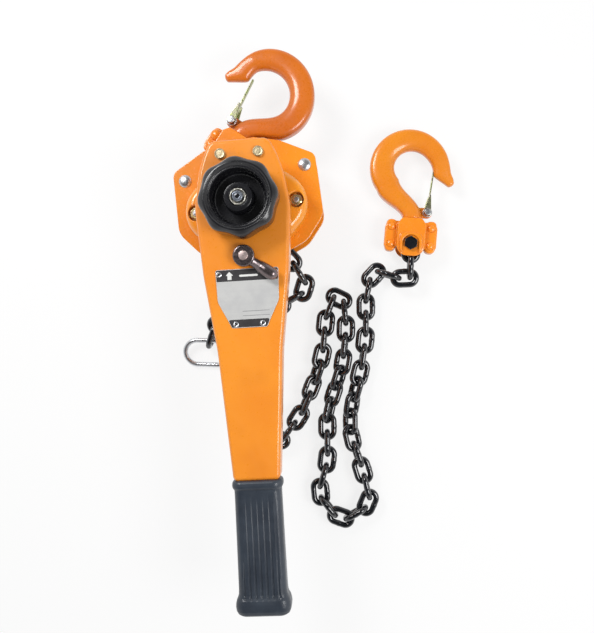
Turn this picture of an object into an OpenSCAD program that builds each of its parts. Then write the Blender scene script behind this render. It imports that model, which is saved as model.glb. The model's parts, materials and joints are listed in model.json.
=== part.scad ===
// Lever chain hoist, the pulling tool also called a come-along winch.
// It lies on the back of its gear cover: z = 0 is that face and the Z axis is the main shaft.
// +Y points to the top hook and the lever arm reaches towards -Y.

/* [Housing] */
// Thickness of each side plate
plate_t = 4; // [3:0.5:6]
// Gap between the two side plates
plate_gap = 34; // [34:0.5:40]
// Half width of the side plates
plate_half_w = 75; // [73:1:85]
// Height of the shoulder corner of the plates above the shaft
plate_ear_y = 50; // [48:1:58]
// Height of the top edge of the plates above the shaft
plate_top_y = 76; // [75:1:90]
// Distance of the bottom edge of the plates below the shaft
plate_foot_y = 49; // [46:1:56]
// Depth of the gear cover
gear_cover_h = 28; // [28:0.5:34]
// Depth of the brake cover
brake_cover_h = 28; // [28:0.5:34]
// Sheet thickness of the two covers
cover_t = 2.5; // [1.5:0.25:3.5]
// Distance of the side stays from the side edge of the plates
stay_edge = 12; // [9:0.5:14]
// Distance of the side stays above the shaft
stay_y = 40; // [38:0.5:44]
// Distance of the brake pawl studs from the shaft
stud_x = 51; // [50:0.5:54]

/* [Chain] */
// Wire diameter of the load chain
chain_wire = 6.3; // [5.6:0.1:6.5]
// Inside length of one link
chain_pitch = 19; // [18:0.25:20]
// Outside width of one link
link_w = 21; // [20:0.25:22]
// Play between two links that pull on each other
link_gap = 0.6; // [0.4:0.05:0.8]
// Number of links from the sheave to the bottom hook
load_links = 59; // [57:2:61]
// Wire diameter of the ring on the slack end
ring_wire = 5.5; // [4:0.5:6]
// Outside width of that ring
ring_w = 34; // [30:1:40]
// Outside length of that ring
ring_l = 76; // [60:1:90]

/* [Gears and brake] */
// Gear module of both stages
gear_module = 1.75; // [1.7:0.05:1.8]
// Teeth of the drive pinion and of the second-stage pinions
pinion_teeth = 12; // [12:1:12]
// Teeth of the first-stage wheels and of the load gear
wheel_teeth = 30; // [30:1:30]
// Radius of the load sheave
sheave_r = 28; // [27:0.25:29]
// Radius of the main shaft
shaft_r = 7.5; // [6.5:0.25:8]
// Outer radius of the brake ratchet disc
ratchet_r = 32; // [31:0.5:33]
// Teeth of the brake ratchet disc
ratchet_teeth = 10; // [10:2:10]
// Outer radius of the change gear inside the lever
change_r = 32; // [31:0.5:33]

/* [Lever] */
// Angle of the lever arm from straight down, positive towards the right
lever_rest = -4; // [-8:1:4]
// Distance from the shaft to the end of the lever
lever_len = 400; // [380:5:430]
// Half width of the lever head at the shaft
lever_head_w = 46; // [45:0.5:50]
// Half width of the arm where it enters the grip
lever_arm_w = 22.5; // [21:0.5:26]
// Height of the lever shell
lever_h = 22; // [21:0.5:26]
// Sheet thickness of the lever
lever_t = 2.5; // [2:0.25:3.5]
// Length of the rubber grip
grip_l = 132; // [110:2:150]
// Distance from the shaft to the selector pivot
selector_y = 53; // [52:0.5:55]
// Swing of the selector from neutral to either side
selector_swing = 54; // [50:1:54]
// Outer radius of the hand wheel
wheel_r = 38.5; // [36:0.5:42]
// Height of the hand wheel
wheel_h = 29; // [24:1:34]

/* [Hooks] */
// Inner radius of the hook bowl
bowl_r = 23.5; // [22:0.5:26]
// Depth of the hook body at its back
hook_depth = 27; // [24:0.5:29]
// Half thickness of the hook body
hook_half_t = 10.5; // [8:0.5:11]
// Distance from the yoke pin to the centre of the bowl
bowl_y = 82; // [80:1:88]
// Radius of the hook shank at the neck
neck_r = 11; // [10:0.5:12]
// Lean of the top hook from straight up, positive towards the right
top_lean = 41; // [30:1:50]
// Lean of the bottom hook from straight up, positive towards the right
bottom_lean = 12; // [4:1:20]
// Size of the bottom hook against the top hook
bottom_scale = 0.94; // [0.9:0.01:1]
// Distance of the top hook pin to the left of the shaft
top_pin_x = 21; // [18:1:26]
// Distance of the top hook pin above the shaft
top_pin_y = 62; // [60:1:64]

/* [Hidden] */
$fn = 48;
// Gap between pieces that move on each other with flat or free faces
slack = 0.3;
// Radial clearance of a shaft in its bore
run_fit = 0.05;
steel_gap = 0.1;

// Levels along the shaft
rear_z = gear_cover_h;
gap_z = rear_z + plate_t;
front_z = gap_z + plate_gap;
brake_z = front_z + plate_t;
cover_z = brake_z + brake_cover_h;
lever_z = cover_z + 3.5;
lever_top = lever_z + lever_h;
mid_z = gap_z + plate_gap / 2;

// Load chain
crown_r = (link_w - chain_wire) / 2;
link_reach = (chain_pitch + chain_wire) / 2;
half_straight = link_reach - crown_r;
link_seat = link_reach - chain_wire - link_gap;
pocket_count = 4;
pocket_half = 180 / pocket_count;
flat_r = (link_seat + link_reach * cos(pocket_half)) / sin(pocket_half);
upright_r = flat_r * cos(pocket_half) + link_reach * sin(pocket_half);

// Gear train
pressure = 25;
backlash = 0.3;
gear_gap = gear_module * (pinion_teeth + wheel_teeth) / 2;
pinion_z0 = 5;
stage_z0 = 6.5;
stage_t = 7.5;
load_gear_z0 = 19.2;
load_gear_t = 7;
journal_r = 6;
idler_r = 5;
hub_r = 15;
bearing_r = 24;
groove_r = upright_r - link_w / 2 - 0.8;

// Brake stack above the front plate
brake_bore = 12.5;
hub_flange_z = brake_z + 2;
hub_flange_t = 3.5;
disc_t = 3;
disc_r = 29;
ratchet_t = 6;
ratchet_root = ratchet_r - 4.5;
ratchet_z = hub_flange_z + hub_flange_t + disc_t + steel_gap;
second_disc_z = ratchet_z + ratchet_t + steel_gap;
change_flange_z = second_disc_z + disc_t;
change_flange_t = 3.5;
change_hub_r = 19;
change_teeth = 18;
change_root = change_r - 5;
change_z = lever_z + lever_t + 1.5;
change_t = 9;
top_hub_r = 17;
nut_seat_z = cover_z - 10;
nut_h = 6.5;
nut_w = 13;
washer_r = 8;
cup_r = washer_r + 1;
stud_r = 5;
first_tooth = 26;

// Levels and sizes inside the housing
flange_z = rear_z - cover_t;
cover_nut_z = flange_z - 7.5;
cover_floor = 3;
bore_z = 1.5;
stay_x = plate_half_w - stay_edge;
stay_end_r = 6;
foot_stay_y = 40;
guide_x = 44;
guide_y = 31;
guide_r = 5;
top_pin_r = 6;
spline_r = 11;
groove_half = chain_wire / 2 + 0.45;
pawl_z = ratchet_z + 0.4;
pawl_t = 5;
pawl_coil_r = 6.8;
pawl_coil_wire_r = 0.6;
pawl_coil_pitch = 1.9;

// Lever, selector and hand wheel
tang_w = 14;
tang_l = 120;
tang_h = 15;
lever_bolt_x = 18.5;
lever_bolt_y = 47;
lever_bolt_r = 3;
label_x = 1.5;
label_y = -65;
label_l = 56.5;
label_t = 0.8;
selector_r = 5;
cam_r = 12;
cam_z = change_z + change_t + 0.5;
cam_h = 3.5;
wheel_z = lever_top + 1.5;
wheel_nut_z = wheel_z + wheel_h - 12;
wheel_floor = wheel_z + 6;

// Hooks and yokes
latch_coil_r = 3.6;
latch_coil_wire_r = 0.5;
latch_coil_pitch = 1.7;
shank_r = 7.5;
head_r = 11;
head_y = 16;
head_h = 5.5;
latch_x = -17;
latch_y = 38;
latch_pin_r = 2.5;
ear_t = 6.5;
yoke_rivet_x = 21.5;
yoke_rivet_r = 2.6;
top_yoke_t = plate_gap / 2 - 0.5;
chain_pin_r = (crown_r - chain_wire / 2 - 0.4) / bottom_scale;
bolt_head_r = 7.6;
bolt_room = bolt_head_r + 1.9;
chain_yoke_t = 14.2;

function polar(r, a) = [r * cos(a), r * sin(a)];
function unit(v) = v / norm(v);
function arc(c, r, a0, a1, n = 10) = [for (i = [0:n]) c + polar(r, a0 + (a1 - a0) * i / n)];
function flip_x(pts) = [for (i = [len(pts) - 1:-1:0]) [-pts[i].x, pts[i].y, pts[i][2]]];

// One corner c of an outline between p and q, rounded to radius r
function corner(p, c, q, r, n) = let (
    a = unit(p - c), b = unit(q - c), half = acos(a * b) / 2,
    o = c + unit(a + b) * r / sin(half),
    s = c + a * r / tan(half) - o, e = c + b * r / tan(half) - o,
    a0 = atan2(s.y, s.x), d = atan2(e.y, e.x) - a0,
    sweep = d > 180 ? d - 360 : d < -180 ? d + 360 : d)
    [for (i = [0:n]) o + polar(r, a0 + sweep * i / n)];

// An outline given as [x, y, corner radius] rows, with every corner rounded
function rounded(rows, n = 6) = let (k = len(rows)) [for (i = [0:k - 1]) each corner(
    [rows[(i + k - 1) % k].x, rows[(i + k - 1) % k].y], [rows[i].x, rows[i].y],
    [rows[(i + 1) % k].x, rows[(i + 1) % k].y], rows[i][2], n)];

// A cubic curve from a to d with handles b and c
function bezier(a, b, c, d, t) = pow(1 - t, 3) * a + 3 * t * pow(1 - t, 2) * b
    + 3 * t * t * (1 - t) * c + pow(t, 3) * d;

// ---------------------------------------------------------------- gears

function inv(a) = tan(a) - a * PI / 180;
function tooth_half(z, r) = let (rp = gear_module * z / 2, rb = rp * cos(pressure))
    (((PI * gear_module / 2 - backlash / 2) / (2 * rp)) + inv(pressure)
    - inv(acos(min(1, rb / r)))) * 180 / PI;

// Outline of an involute gear with z teeth, one of them centred on angle a
function gear_outline(z, a = 0, steps = 3) = let (
    rp = gear_module * z / 2, base = rp * cos(pressure), tip = rp + gear_module,
    root = rp - 1.25 * gear_module, low = max(base, root))
    [for (k = [0:z - 1]) let (c = a + 360 * k / z) each concat(
        [polar(root, c - tooth_half(z, low))],
        [for (i = [0:steps]) let (r = low + (tip - low) * i / steps) polar(r, c - tooth_half(z, r))],
        [for (i = [steps:-1:0]) let (r = low + (tip - low) * i / steps) polar(r, c + tooth_half(z, r))],
        [polar(root, c + tooth_half(z, low))])];

module gear(z, h, a = 0) {
    linear_extrude(h) polygon(gear_outline(z, a));
}

module ring(outer, inner, h) {
    difference() {
        cylinder(r = outer, h = h);
        translate([0, 0, -1]) cylinder(r = inner, h = h + 2);
    }
}

module hex_nut(across, h, bore) {
    difference() {
        cylinder(r = across / 2 / cos(30), h = h, $fn = 6);
        translate([0, 0, -1]) cylinder(r = bore, h = h + 2);
    }
}

// Middle of ring i of a coil spring, and the least gap between its curls, measured on those points
function coil_point(radius, pitch, rings, i) =
    [radius * cos(360 * i / rings), radius * sin(360 * i / rings), pitch * i / rings];
function coil_gap(radius, wire_r, turns, pitch, rings = 8) = min([
    for (i = [0:turns * rings - rings / 2], j = [i + rings / 2:turns * rings])
        norm(coil_point(radius, pitch, rings, i) - coil_point(radius, pitch, rings, j))]) - 2 * wire_r;

// A coil of round wire along +Z, its ends run straight for one wire thickness
module coil(radius, wire_r, turns, pitch, rings = 8, sides = 6) {
    n = turns * rings;
    rise = atan2(pitch, 2 * PI * radius);
    skin([for (i = [-1:n + 1]) let (
        at = min(n, max(0, i)), a = 360 * at / rings,
        out = [cos(a), sin(a), 0], way = [-sin(a) * cos(rise), cos(a) * cos(rise), sin(rise)],
        up = cross(out, way), c = coil_point(radius, pitch, rings, at) + (i - at) * 2 * wire_r * way)
        [for (j = [0:sides - 1]) let (b = 360 * j / sides) c + wire_r * (out * cos(b) - up * sin(b))]]);
}

// ---------------------------------------------------------------- chain

// Smooth curve through the points of a route, n steps between two of them
function spline(p, q, r, s, t) = 0.5 * ((2 * q) + (r - p) * t
    + (2 * p - 5 * q + 4 * r - s) * t * t + (3 * q - p - 3 * r + s) * t * t * t);
function route(pts) = [for (i = [0:len(pts) - 2])
    let (n = max(2, round(norm(pts[i + 1] - pts[i]) / way_step))) each [for (j = [0:n - 1]) spline(
    pts[max(0, i - 1)], pts[i], pts[i + 1], pts[min(len(pts) - 1, i + 2)], j / n)]];

function floor_z(spread) = chain_wire / 2 + crown_r * cos(spread);
function raised(p) = [p.x, p.y, max(0, p.z) + floor_z(p[3]) + rest_gap];
function link_normal(d, roll) = let (up = unit([0, 0, 1] - d.z * d))
    up * cos(roll) + cross(d, up) * sin(roll);
function in_plane(v, n) = unit(v - (v * n) * n);

// Number of the path point nearest to a place, from point i onwards
function nearest(path, i, place) = let (
    apart = [for (j = [i:min(len(path) - 1, i + 14)]) norm(raised(path[j]) - place)])
    i + search(min(apart), apart)[0];

// Centre of the link that hangs in the crown of link [c, d, n] and points along e with normal m
function next_centre(c, d, n, e, m) = let (mean = unit(d + e))
    c + half_straight * (d + e) + crown_r * (in_plane(mean, n) + in_plane(mean, m))
    - (chain_wire + link_gap) * mean;

// Links [centre, direction, normal] laid along a path, each one seated in the crown of the last.
// Every path point holds x, y, the lift above lying on the floor, and the roll of the links.
function lay(path, count, link, i = 0, k = 0) = count == 0 ? [] : let (
    seat = link[0] + link_seat * link[1],
    at = nearest(path, i, seat),
    mid = path[min(len(path) - 1, at + round(link_reach / way_step))],
    far = path[min(len(path) - 1, at + round(steer / way_step))],
    e = unit(raised(far) - seat),
    m = link_normal(e, mid[3] - (k % 2 == 0 ? 0 : 90)),
    c = next_centre(link[0], link[1], link[2], e, m))
    concat([[c, e, m]], lay(path, count - 1, [c, e, m], at, k + 1));

// Spacing of the path points, how far ahead of a joint its link is steered, and floor clearance
way_step = 2;
steer = 24;
rest_gap = 0.9;

// Way of the loaded strand
load_way = [
    [-21, -13, 38, 0], [-21, -30, 38, 0], [-21, -48, 34, 0], [-21, -62, 22, 0],
    [-21, -76, 11, 0], [-18, -92, 3, 0], [-15, -115, 0, 15], [-12, -135, 0, 30],
    [-11, -160, 0, 35], [-18, -185, 0, 20], [-26, -205, 0, 0], [-32, -229, 0, 0],
    [-20, -246, 0, 0], [-2, -245, 0, 0], [16, -229, 0, 0],
    [29, -210, 0, 15], [40, -190, 0, 35], [50, -170, 0, 20], [57, -148, 0, 0],
    [62, -126, 0, 0], [68, -104, 0, 0], [76, -99, 0, 0], [84, -104, 0, 0],
    [85, -126, 0, 0], [82, -142, 0, 0], [78, -162, 0, 20], [70, -185, 0, 35],
    [60, -206, 0, 35], [52, -230, 0, 10], [49, -258, 0, 0], [42, -284, 0, 0],
    [34, -304, 0, 0], [39, -327, 0, 0], [57, -341, 0, 0], [76, -335, 0, 0],
    [86, -315, 0, 0], [82, -290, 0, 0], [77, -262, 0, 25], [76, -240, 0, 45],
    [81, -214, 0, 40], [92, -188, 0, 15], [101, -158, 0, 0], [107, -130, 0, 0],
    [110, -100, 0, 0], [120, -81, 0, 0], [136, -75, 2, 0], [148, -86, 6, 0],
    [158, -90, 6, 0], [164, -76, 6, 0], [164, -50, 6, 0], [162, -20, 6, 0]];

// Way of the slack strand to the end ring
slack_way = [
    [21, -13, 38, 0], [22, -32, 38, 0], [33, -50, 35, 0], [45, -66, 31, 0],
    [45, -84, 28, 0], [29, -97, 25, 0], [4, -101, 22, 0], [-20, -101, 21, 0],
    [-42, -104, 10, 0], [-58, -110, 2, 0], [-67, -121, 1, 0], [-71, -136, 1, 0], [-73, -152, 1, 0]];
slack_links = 12;

load_run = lay(route(load_way), load_links, [[-flat_r, 0, mid_z], [0, -1, 0], [1, 0, 0]]);
slack_run = lay(route(slack_way), slack_links, [[flat_r, 0, mid_z], [0, -1, 0], [1, 0, 0]]);
last_load = load_run[load_links - 1];
last_slack = slack_run[slack_links - 1];
chain_pin_at = last_load[0] + half_straight * last_load[1];

// The ring hangs with its upper leg in the last link and its lower leg on the floor
ring_at = last_slack[0] + (link_reach - chain_wire / 2 - ring_wire / 2 - 0.9) * last_slack[1];
ring_lean = -9;
ring_shift = 6;
ring_tilt = asin((ring_at.z - ring_wire / 2 - 0.2) / (ring_w - ring_wire));

module link() {
    for (end = [0, 180]) rotate([0, 0, end]) {
        translate([half_straight, 0, 0]) rotate([0, 0, -90])
            rotate_extrude(angle = 180) translate([crown_r, 0]) circle(d = chain_wire, $fn = 24);
        translate([-half_straight, crown_r, 0]) rotate([0, 90, 0])
            cylinder(d = chain_wire, h = 2 * half_straight, $fn = 24);
    }
}

// Place children so that +X follows d and +Z follows n
module along(c, d, n) {
    s = cross(n, d);
    multmatrix([[d.x, s.x, n.x, c.x], [d.y, s.y, n.y, c.y], [d.z, s.z, n.z, c.z]]) children();
}

module links(run, from, to) {
    color("#1c1d1f") for (i = [from:to]) along(run[i][0], run[i][1], run[i][2]) link();
}

// ---------------------------------------------------------------- shapes

// Outline moved inwards by d
function inset(pts, d) = let (n = len(pts)) [for (i = [0:n - 1]) let (
    a = unit(pts[i] - pts[(i + n - 1) % n]), b = unit(pts[(i + 1) % n] - pts[i]), t = unit(a + b))
    pts[i] + d * [-t.y, t.x] / (t * a)];

// A solid through several closed rings of points
module skin(rings) {
    n = len(rings[0]);
    last = len(rings) - 1;
    walls = [for (i = [0:last - 1], j = [0:n - 1]) let (a = i * n + j, b = i * n + (j + 1) % n)
        each [[a + n, b, a], [a + n, b + n, b]]];
    ends = [[for (j = [0:n - 1]) j], [for (j = [n - 1:-1:0]) last * n + j]];
    polyhedron([for (ring = rings) each ring], concat(ends, walls));
}

// An outline built up along +Z, each level given as [z, inset]. The first and the last level
// are run on by 1 mm and cut off again, which leaves one flat face at each end.
module pressing(outline, levels) {
    foot = levels[0];
    top = levels[len(levels) - 1];
    reach = 1000;
    run = concat([[foot[0] - 1, foot[1]]], levels, [[top[0] + 1, top[1]]]);
    intersection() {
        skin([for (level = run) [for (p = inset(outline, level[1])) [p.x, p.y, level[0]]]]);
        translate([-reach / 2, -reach / 2, foot[0]]) cube([reach, reach, top[0] - foot[0]]);
    }
}

// A plate of one thickness, its outline moved inwards by d
module blank(outline, d, h) {
    linear_extrude(h) polygon(inset(outline, d));
}

module obround(length, width) {
    r = width / 2;
    for (x = [-1, 1]) translate([x * (length / 2 - r), 0]) circle(r = r);
    square([length - width, width], center = true);
}

// A low rivet or bolt dome on the plane z = 0
module dome(r, h) {
    ball = (r * r + h * h) / (2 * h);
    intersection() {
        translate([0, 0, h - ball]) sphere(r = ball);
        cylinder(r = r + 1, h = h);
    }
}

// Outline of the side plates, moved inwards by d
function plate_outline(d) = let (right = [
    [30, d - plate_foot_y, 12], [56 - d, d - plate_foot_y + 11, 25],
    [plate_half_w + 1 - d, -14, 20], [plate_half_w - d, plate_ear_y - d, 9],
    [40, plate_top_y - 7 - d, 30], [14, plate_top_y - d, 12]]) rounded(concat(right, flip_x(right)));

module at_stays() {
    for (x = [-stay_x, stay_x]) translate([x, stay_y, 0]) children();
    translate([0, -foot_stay_y, 0]) children();
}

module side_plate() {
    difference() {
        linear_extrude(plate_t) polygon(plate_outline(0));
        translate([0, 0, -1]) cylinder(r = bearing_r, h = plate_t + 2);
        at_stays() translate([0, 0, -1]) cylinder(r = stay_end_r, h = plate_t + 2);
        translate([-top_pin_x, top_pin_y, -1]) cylinder(r = top_pin_r, h = plate_t + 2);
        for (x = [-guide_x, guide_x]) translate([x, -guide_y, -1])
            cylinder(r = guide_r - 1, h = plate_t + 2);
    }
}

// ---------------------------------------------------------------- housing

module rear_plate() {
    color("#e8830c") difference() {
        translate([0, 0, rear_z]) side_plate();
        for (x = [-gear_gap, gear_gap]) translate([x, 0, rear_z - 1])
            cylinder(r = idler_r + run_fit, h = plate_t + 2);
    }
}

module front_plate() {
    color("#e8830c") difference() {
        translate([0, 0, front_z]) side_plate();
        for (x = [-stud_x, stud_x]) translate([x, 0, front_z - 1])
            cylinder(r = stud_r, h = plate_t + 2);
    }
}

module stays() {
    color("#c9ccd0") at_stays() {
        translate([0, 0, gap_z]) cylinder(r = 7, h = plate_gap);
        translate([0, 0, cover_nut_z - 2]) cylinder(r = stay_end_r, h = brake_z - cover_nut_z + 2);
        translate([0, 0, brake_z]) dome(6.3, 3);
    }
}

module chain_stripper() {
    eye_h = 14;
    color("#8b8e92") difference() {
        union() {
            translate([0, -foot_stay_y, mid_z - eye_h / 2]) cylinder(r = 9, h = eye_h);
            translate([-5, -foot_stay_y, mid_z - groove_half + 0.5])
                cube([10, foot_stay_y - groove_r - 1.8, 2 * groove_half - 1]);
        }
        translate([0, -foot_stay_y, mid_z - eye_h]) cylinder(r = 7, h = 2 * eye_h);
    }
}

module chain_guides() {
    color("#8b8e92") for (x = [-guide_x, guide_x]) translate([x, -guide_y, 0]) {
        translate([0, 0, gap_z]) cylinder(r = guide_r, h = plate_gap);
        translate([0, 0, rear_z]) cylinder(r = guide_r - 1, h = brake_z - rear_z);
    }
}

module sheave_bearings() {
    color("#b9a25a") {
        translate([0, 0, rear_z]) ring(bearing_r, hub_r + run_fit, plate_t);
        translate([0, 0, gap_z]) ring(bearing_r + 2, hub_r + run_fit, 1.2);
        translate([0, 0, front_z]) ring(bearing_r, hub_r + run_fit, plate_t);
        translate([0, 0, front_z - 1.2]) ring(bearing_r + 2, hub_r + run_fit, 1.2);
    }
}

module top_pin() {
    color("#c9ccd0") translate([-top_pin_x, top_pin_y, 0]) {
        translate([0, 0, rear_z]) cylinder(r = top_pin_r, h = brake_z - rear_z);
        translate([0, 0, brake_z]) dome(7.5, 2);
    }
}

// Outline of the brake cover: a round pan with a lobe over each pawl stud
lobe_r = 14;
lobe_x = stud_x - 3;
brake_cover_r = 52;
lobe_turn = acos((brake_cover_r - lobe_r) / lobe_x);
brake_outline = concat(
    arc([lobe_x, 0], lobe_r, -lobe_turn, lobe_turn),
    arc([0, 0], brake_cover_r, lobe_turn, 180 - lobe_turn, 18),
    arc([-lobe_x, 0], lobe_r, 180 - lobe_turn, 180 + lobe_turn),
    arc([0, 0], brake_cover_r, 180 + lobe_turn, 360 - lobe_turn, 18));

module brake_cover() {
    inner_h = brake_cover_h - cover_t;
    cup_z = nut_seat_z - cover_t;
    color("#f08c10") difference() {
        pressing(brake_outline, [[brake_z, 0], [cover_z - 7, 0], [cover_z - 3, 1.2],
            [cover_z - 1, 3.2], [cover_z, 6.5]]);
        difference() {
            translate([0, 0, brake_z - 1]) {
                cylinder(r = brake_cover_r - cover_t, h = inner_h + 1);
                for (x = [-lobe_x, lobe_x]) translate([x, 0, 0])
                    cylinder(r = lobe_r - cover_t, h = inner_h + 1);
            }
            for (x = [-stud_x, stud_x]) translate([x, 0, cup_z])
                cylinder(r = cup_r + cover_t - 0.5, h = brake_cover_h);
        }
        for (x = [-stud_x, stud_x]) {
            translate([x, 0, nut_seat_z]) cylinder(r = cup_r, h = brake_cover_h);
            translate([x, 0, cup_z - 1]) cylinder(r = stud_r, h = brake_cover_h);
        }
        translate([0, 0, brake_z]) cylinder(r = change_hub_r + 1.5, h = brake_cover_h + 1);
    }
}

module cover_nuts() {
    color("#d8b24a") {
        for (x = [-stud_x, stud_x]) translate([x, 0, nut_seat_z]) {
            ring(washer_r, stud_r, 1.2);
            translate([0, 0, 1.2]) hex_nut(nut_w, nut_h, stud_r);
        }
        at_stays() translate([0, 0, cover_nut_z]) {
            hex_nut(nut_w, nut_h - 0.5, stay_end_r);
            translate([0, 0, nut_h - 0.5])
                ring(washer_r, stay_end_r, flange_z - cover_nut_z - nut_h + 0.5);
        }
    }
}

// Gear cover: a pan over the three shafts with a flange on the rear plate
module gear_cover() {
    pan_r = 32;
    flange_t = rear_z - flange_z;
    inner_r = pan_r - cover_t;
    boss_wall = 3.5;
    pan = concat(arc([gear_gap, 0], pan_r, -90, 90, 16), arc([-gear_gap, 0], pan_r, 90, 270, 16));
    color("#e8830c") difference() {
        union() {
            pressing(pan, [[0, 5], [1.5, 2.2], [5, 0], [flange_z + flange_t / 2, 0]]);
            translate([0, 0, flange_z]) linear_extrude(flange_t) polygon(plate_outline(1));
        }
        difference() {
            translate([0, 0, cover_floor]) {
                for (x = [-gear_gap, gear_gap]) translate([x, 0, 0]) cylinder(r = inner_r, h = rear_z);
                translate([-gear_gap, -inner_r, 0]) cube([2 * gear_gap, 2 * inner_r, rear_z]);
            }
            for (x = [-gear_gap, gear_gap]) translate([x, 0, 0])
                cylinder(r = idler_r + boss_wall, h = stage_z0 - slack - steel_gap);
            cylinder(r = journal_r + boss_wall, h = pinion_z0 - slack - steel_gap);
        }
        for (x = [-gear_gap, gear_gap]) translate([x, 0, bore_z])
            cylinder(r = idler_r + run_fit, h = rear_z);
        translate([0, 0, bore_z]) cylinder(r = journal_r + run_fit, h = rear_z);
        at_stays() translate([0, 0, flange_z - 1]) cylinder(r = stay_end_r, h = flange_t + 2);
    }
}

// ---------------------------------------------------------------- gear train

module pinion_shaft() {
    color("#9a9da1") difference() {
        union() {
            translate([0, 0, bore_z + 0.1]) cylinder(r = journal_r, h = pinion_z0);
            translate([0, 0, pinion_z0]) gear(pinion_teeth, 11);
            translate([0, 0, pinion_z0 + 11]) cylinder(r = shaft_r, h = wheel_nut_z - pinion_z0 - 11);
            translate([0, 0, wheel_nut_z]) cylinder(r = 5, h = nut_h + 2.5);
        }
        translate([0, 0, wheel_nut_z + nut_h - 4]) cylinder(r = 2, h = 10);
    }
}

module idler(x, turn) {
    color("#85888c") translate([x, 0, 0]) {
        translate([0, 0, bore_z + 0.1]) cylinder(r = idler_r, h = gap_z - bore_z - 0.6);
        translate([0, 0, stage_z0]) gear(wheel_teeth, stage_t, turn);
        translate([0, 0, stage_z0 + stage_t]) gear(pinion_teeth, rear_z - 1 - stage_z0 - stage_t, 15);
    }
}
module gear_left() { idler(-gear_gap, 6); }
module gear_right() { idler(gear_gap, 6); }

module load_gear() {
    color("#85888c") translate([0, 0, load_gear_z0]) difference() {
        gear(wheel_teeth, load_gear_t);
        translate([0, 0, -1]) cylinder(r = spline_r, h = load_gear_t + 2);
        for (a = [30:60:330]) rotate([0, 0, a]) translate([18, 0, -1])
            cylinder(r = 3.5, h = load_gear_t + 2);
    }
}

module load_sheave() {
    body_z = gap_z + 2;
    body_h = plate_gap - 4;
    pocket_l = chain_pitch + 2 * chain_wire + 0.8;
    pocket_floor = flat_r - chain_wire / 2 - 0.35;
    color("#77797d") difference() {
        union() {
            translate([0, 0, body_z]) cylinder(r = sheave_r, h = body_h);
            translate([0, 0, rear_z - 1]) cylinder(r = hub_r, h = front_z + plate_t + 0.5 - rear_z + 1);
            translate([0, 0, load_gear_z0 - 0.7]) cylinder(r = spline_r, h = rear_z - load_gear_z0);
        }
        translate([0, 0, mid_z - groove_half]) ring(sheave_r + 1, groove_r, 2 * groove_half);
        for (k = [0:pocket_count - 1]) rotate([0, 0, k * 360 / pocket_count])
            translate([pocket_floor, 0, mid_z]) rotate([0, 90, 0]) rotate([0, 0, 90])
                linear_extrude(sheave_r) obround(pocket_l, link_w + 0.8);
        translate([0, 0, load_gear_z0 - 2]) cylinder(r = shaft_r + 0.3, h = 70);
    }
}

// The links that lie round the sheave, flat and upright in turn
module chain_wrap() {
    color("#1c1d1f") for (k = [0:4]) rotate([0, 0, k * pocket_half])
        if (k % 2 == 0) along([flat_r, 0, mid_z], [0, 1, 0], [1, 0, 0]) link();
        else along([upright_r, 0, mid_z], [0, 1, 0], [0, 0, 1]) link();
}

// ---------------------------------------------------------------- brake

module brake_hub() {
    color("#9a9da1") difference() {
        translate([0, 0, hub_flange_z]) {
            cylinder(r = disc_r + 1, h = hub_flange_t);
            cylinder(r = brake_bore, h = change_flange_z - hub_flange_z);
        }
        cylinder(r = shaft_r, h = cover_z);
    }
}

module friction_discs() {
    color("#7d5a3c") for (z = [hub_flange_z + hub_flange_t, second_disc_z]) translate([0, 0, z])
        ring(disc_r, brake_bore, disc_t);
}

// Saw teeth: a face square to the line from the pawl stud, a short flat top and a long slope
module ratchet_disc() {
    step = 360 / ratchet_teeth;
    points = [for (k = [0:ratchet_teeth - 1]) let (a = first_tooth + k * step) each [
        polar(ratchet_root, a), polar(ratchet_r, a + 7), polar(ratchet_r, a + 9.5),
        polar(ratchet_r - 2, a + 15), polar(ratchet_root, a + 23), polar(ratchet_root, a + 29.5)]];
    color("#9a9da1") translate([0, 0, ratchet_z]) difference() {
        linear_extrude(ratchet_t - 0.2) polygon(points);
        translate([0, 0, -1]) cylinder(r = brake_bore + 0.4, h = ratchet_t + 2);
    }
}

module pawl_studs() {
    color("#c9ccd0") for (x = [-stud_x, stud_x]) translate([x, 0, 0]) {
        translate([0, 0, front_z - 1.5])
            cylinder(r = stud_r, h = nut_seat_z + nut_h + 3 - front_z + 1.5);
        translate([0, 0, pawl_z + pawl_t + 0.3]) ring(stud_r + 2.5, stud_r, 1);
    }
}

module pawl() {
    color("#85888c") translate([0, 0, pawl_z]) difference() {
        union() {
            translate([stud_x, 0, 0]) cylinder(r = 8, h = pawl_t);
            linear_extrude(pawl_t) polygon([polar(ratchet_root + 0.9, first_tooth - 0.7),
                polar(ratchet_root + 2.1, 17), [44.2, -4.2], [stud_x + 1, -4], [stud_x + 3.2, 7.3],
                polar(ratchet_r + 2, first_tooth - 0.4)]);
        }
        translate([stud_x, 0, -1]) cylinder(r = stud_r + run_fit, h = pawl_t + 2);
    }
}
module brake_pawl_right() { pawl(); }
module brake_pawl_left() { rotate([0, 0, 180]) pawl(); }

module pawl_springs() {
    color("#b8bcc2") for (a = [0, 180]) rotate([0, 0, a]) translate([stud_x, 0, brake_z + 1.2])
        coil(pawl_coil_r, pawl_coil_wire_r, 3, pawl_coil_pitch);
}
echo(pawl_spring_gap = coil_gap(pawl_coil_r, pawl_coil_wire_r, 3, pawl_coil_pitch));

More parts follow.
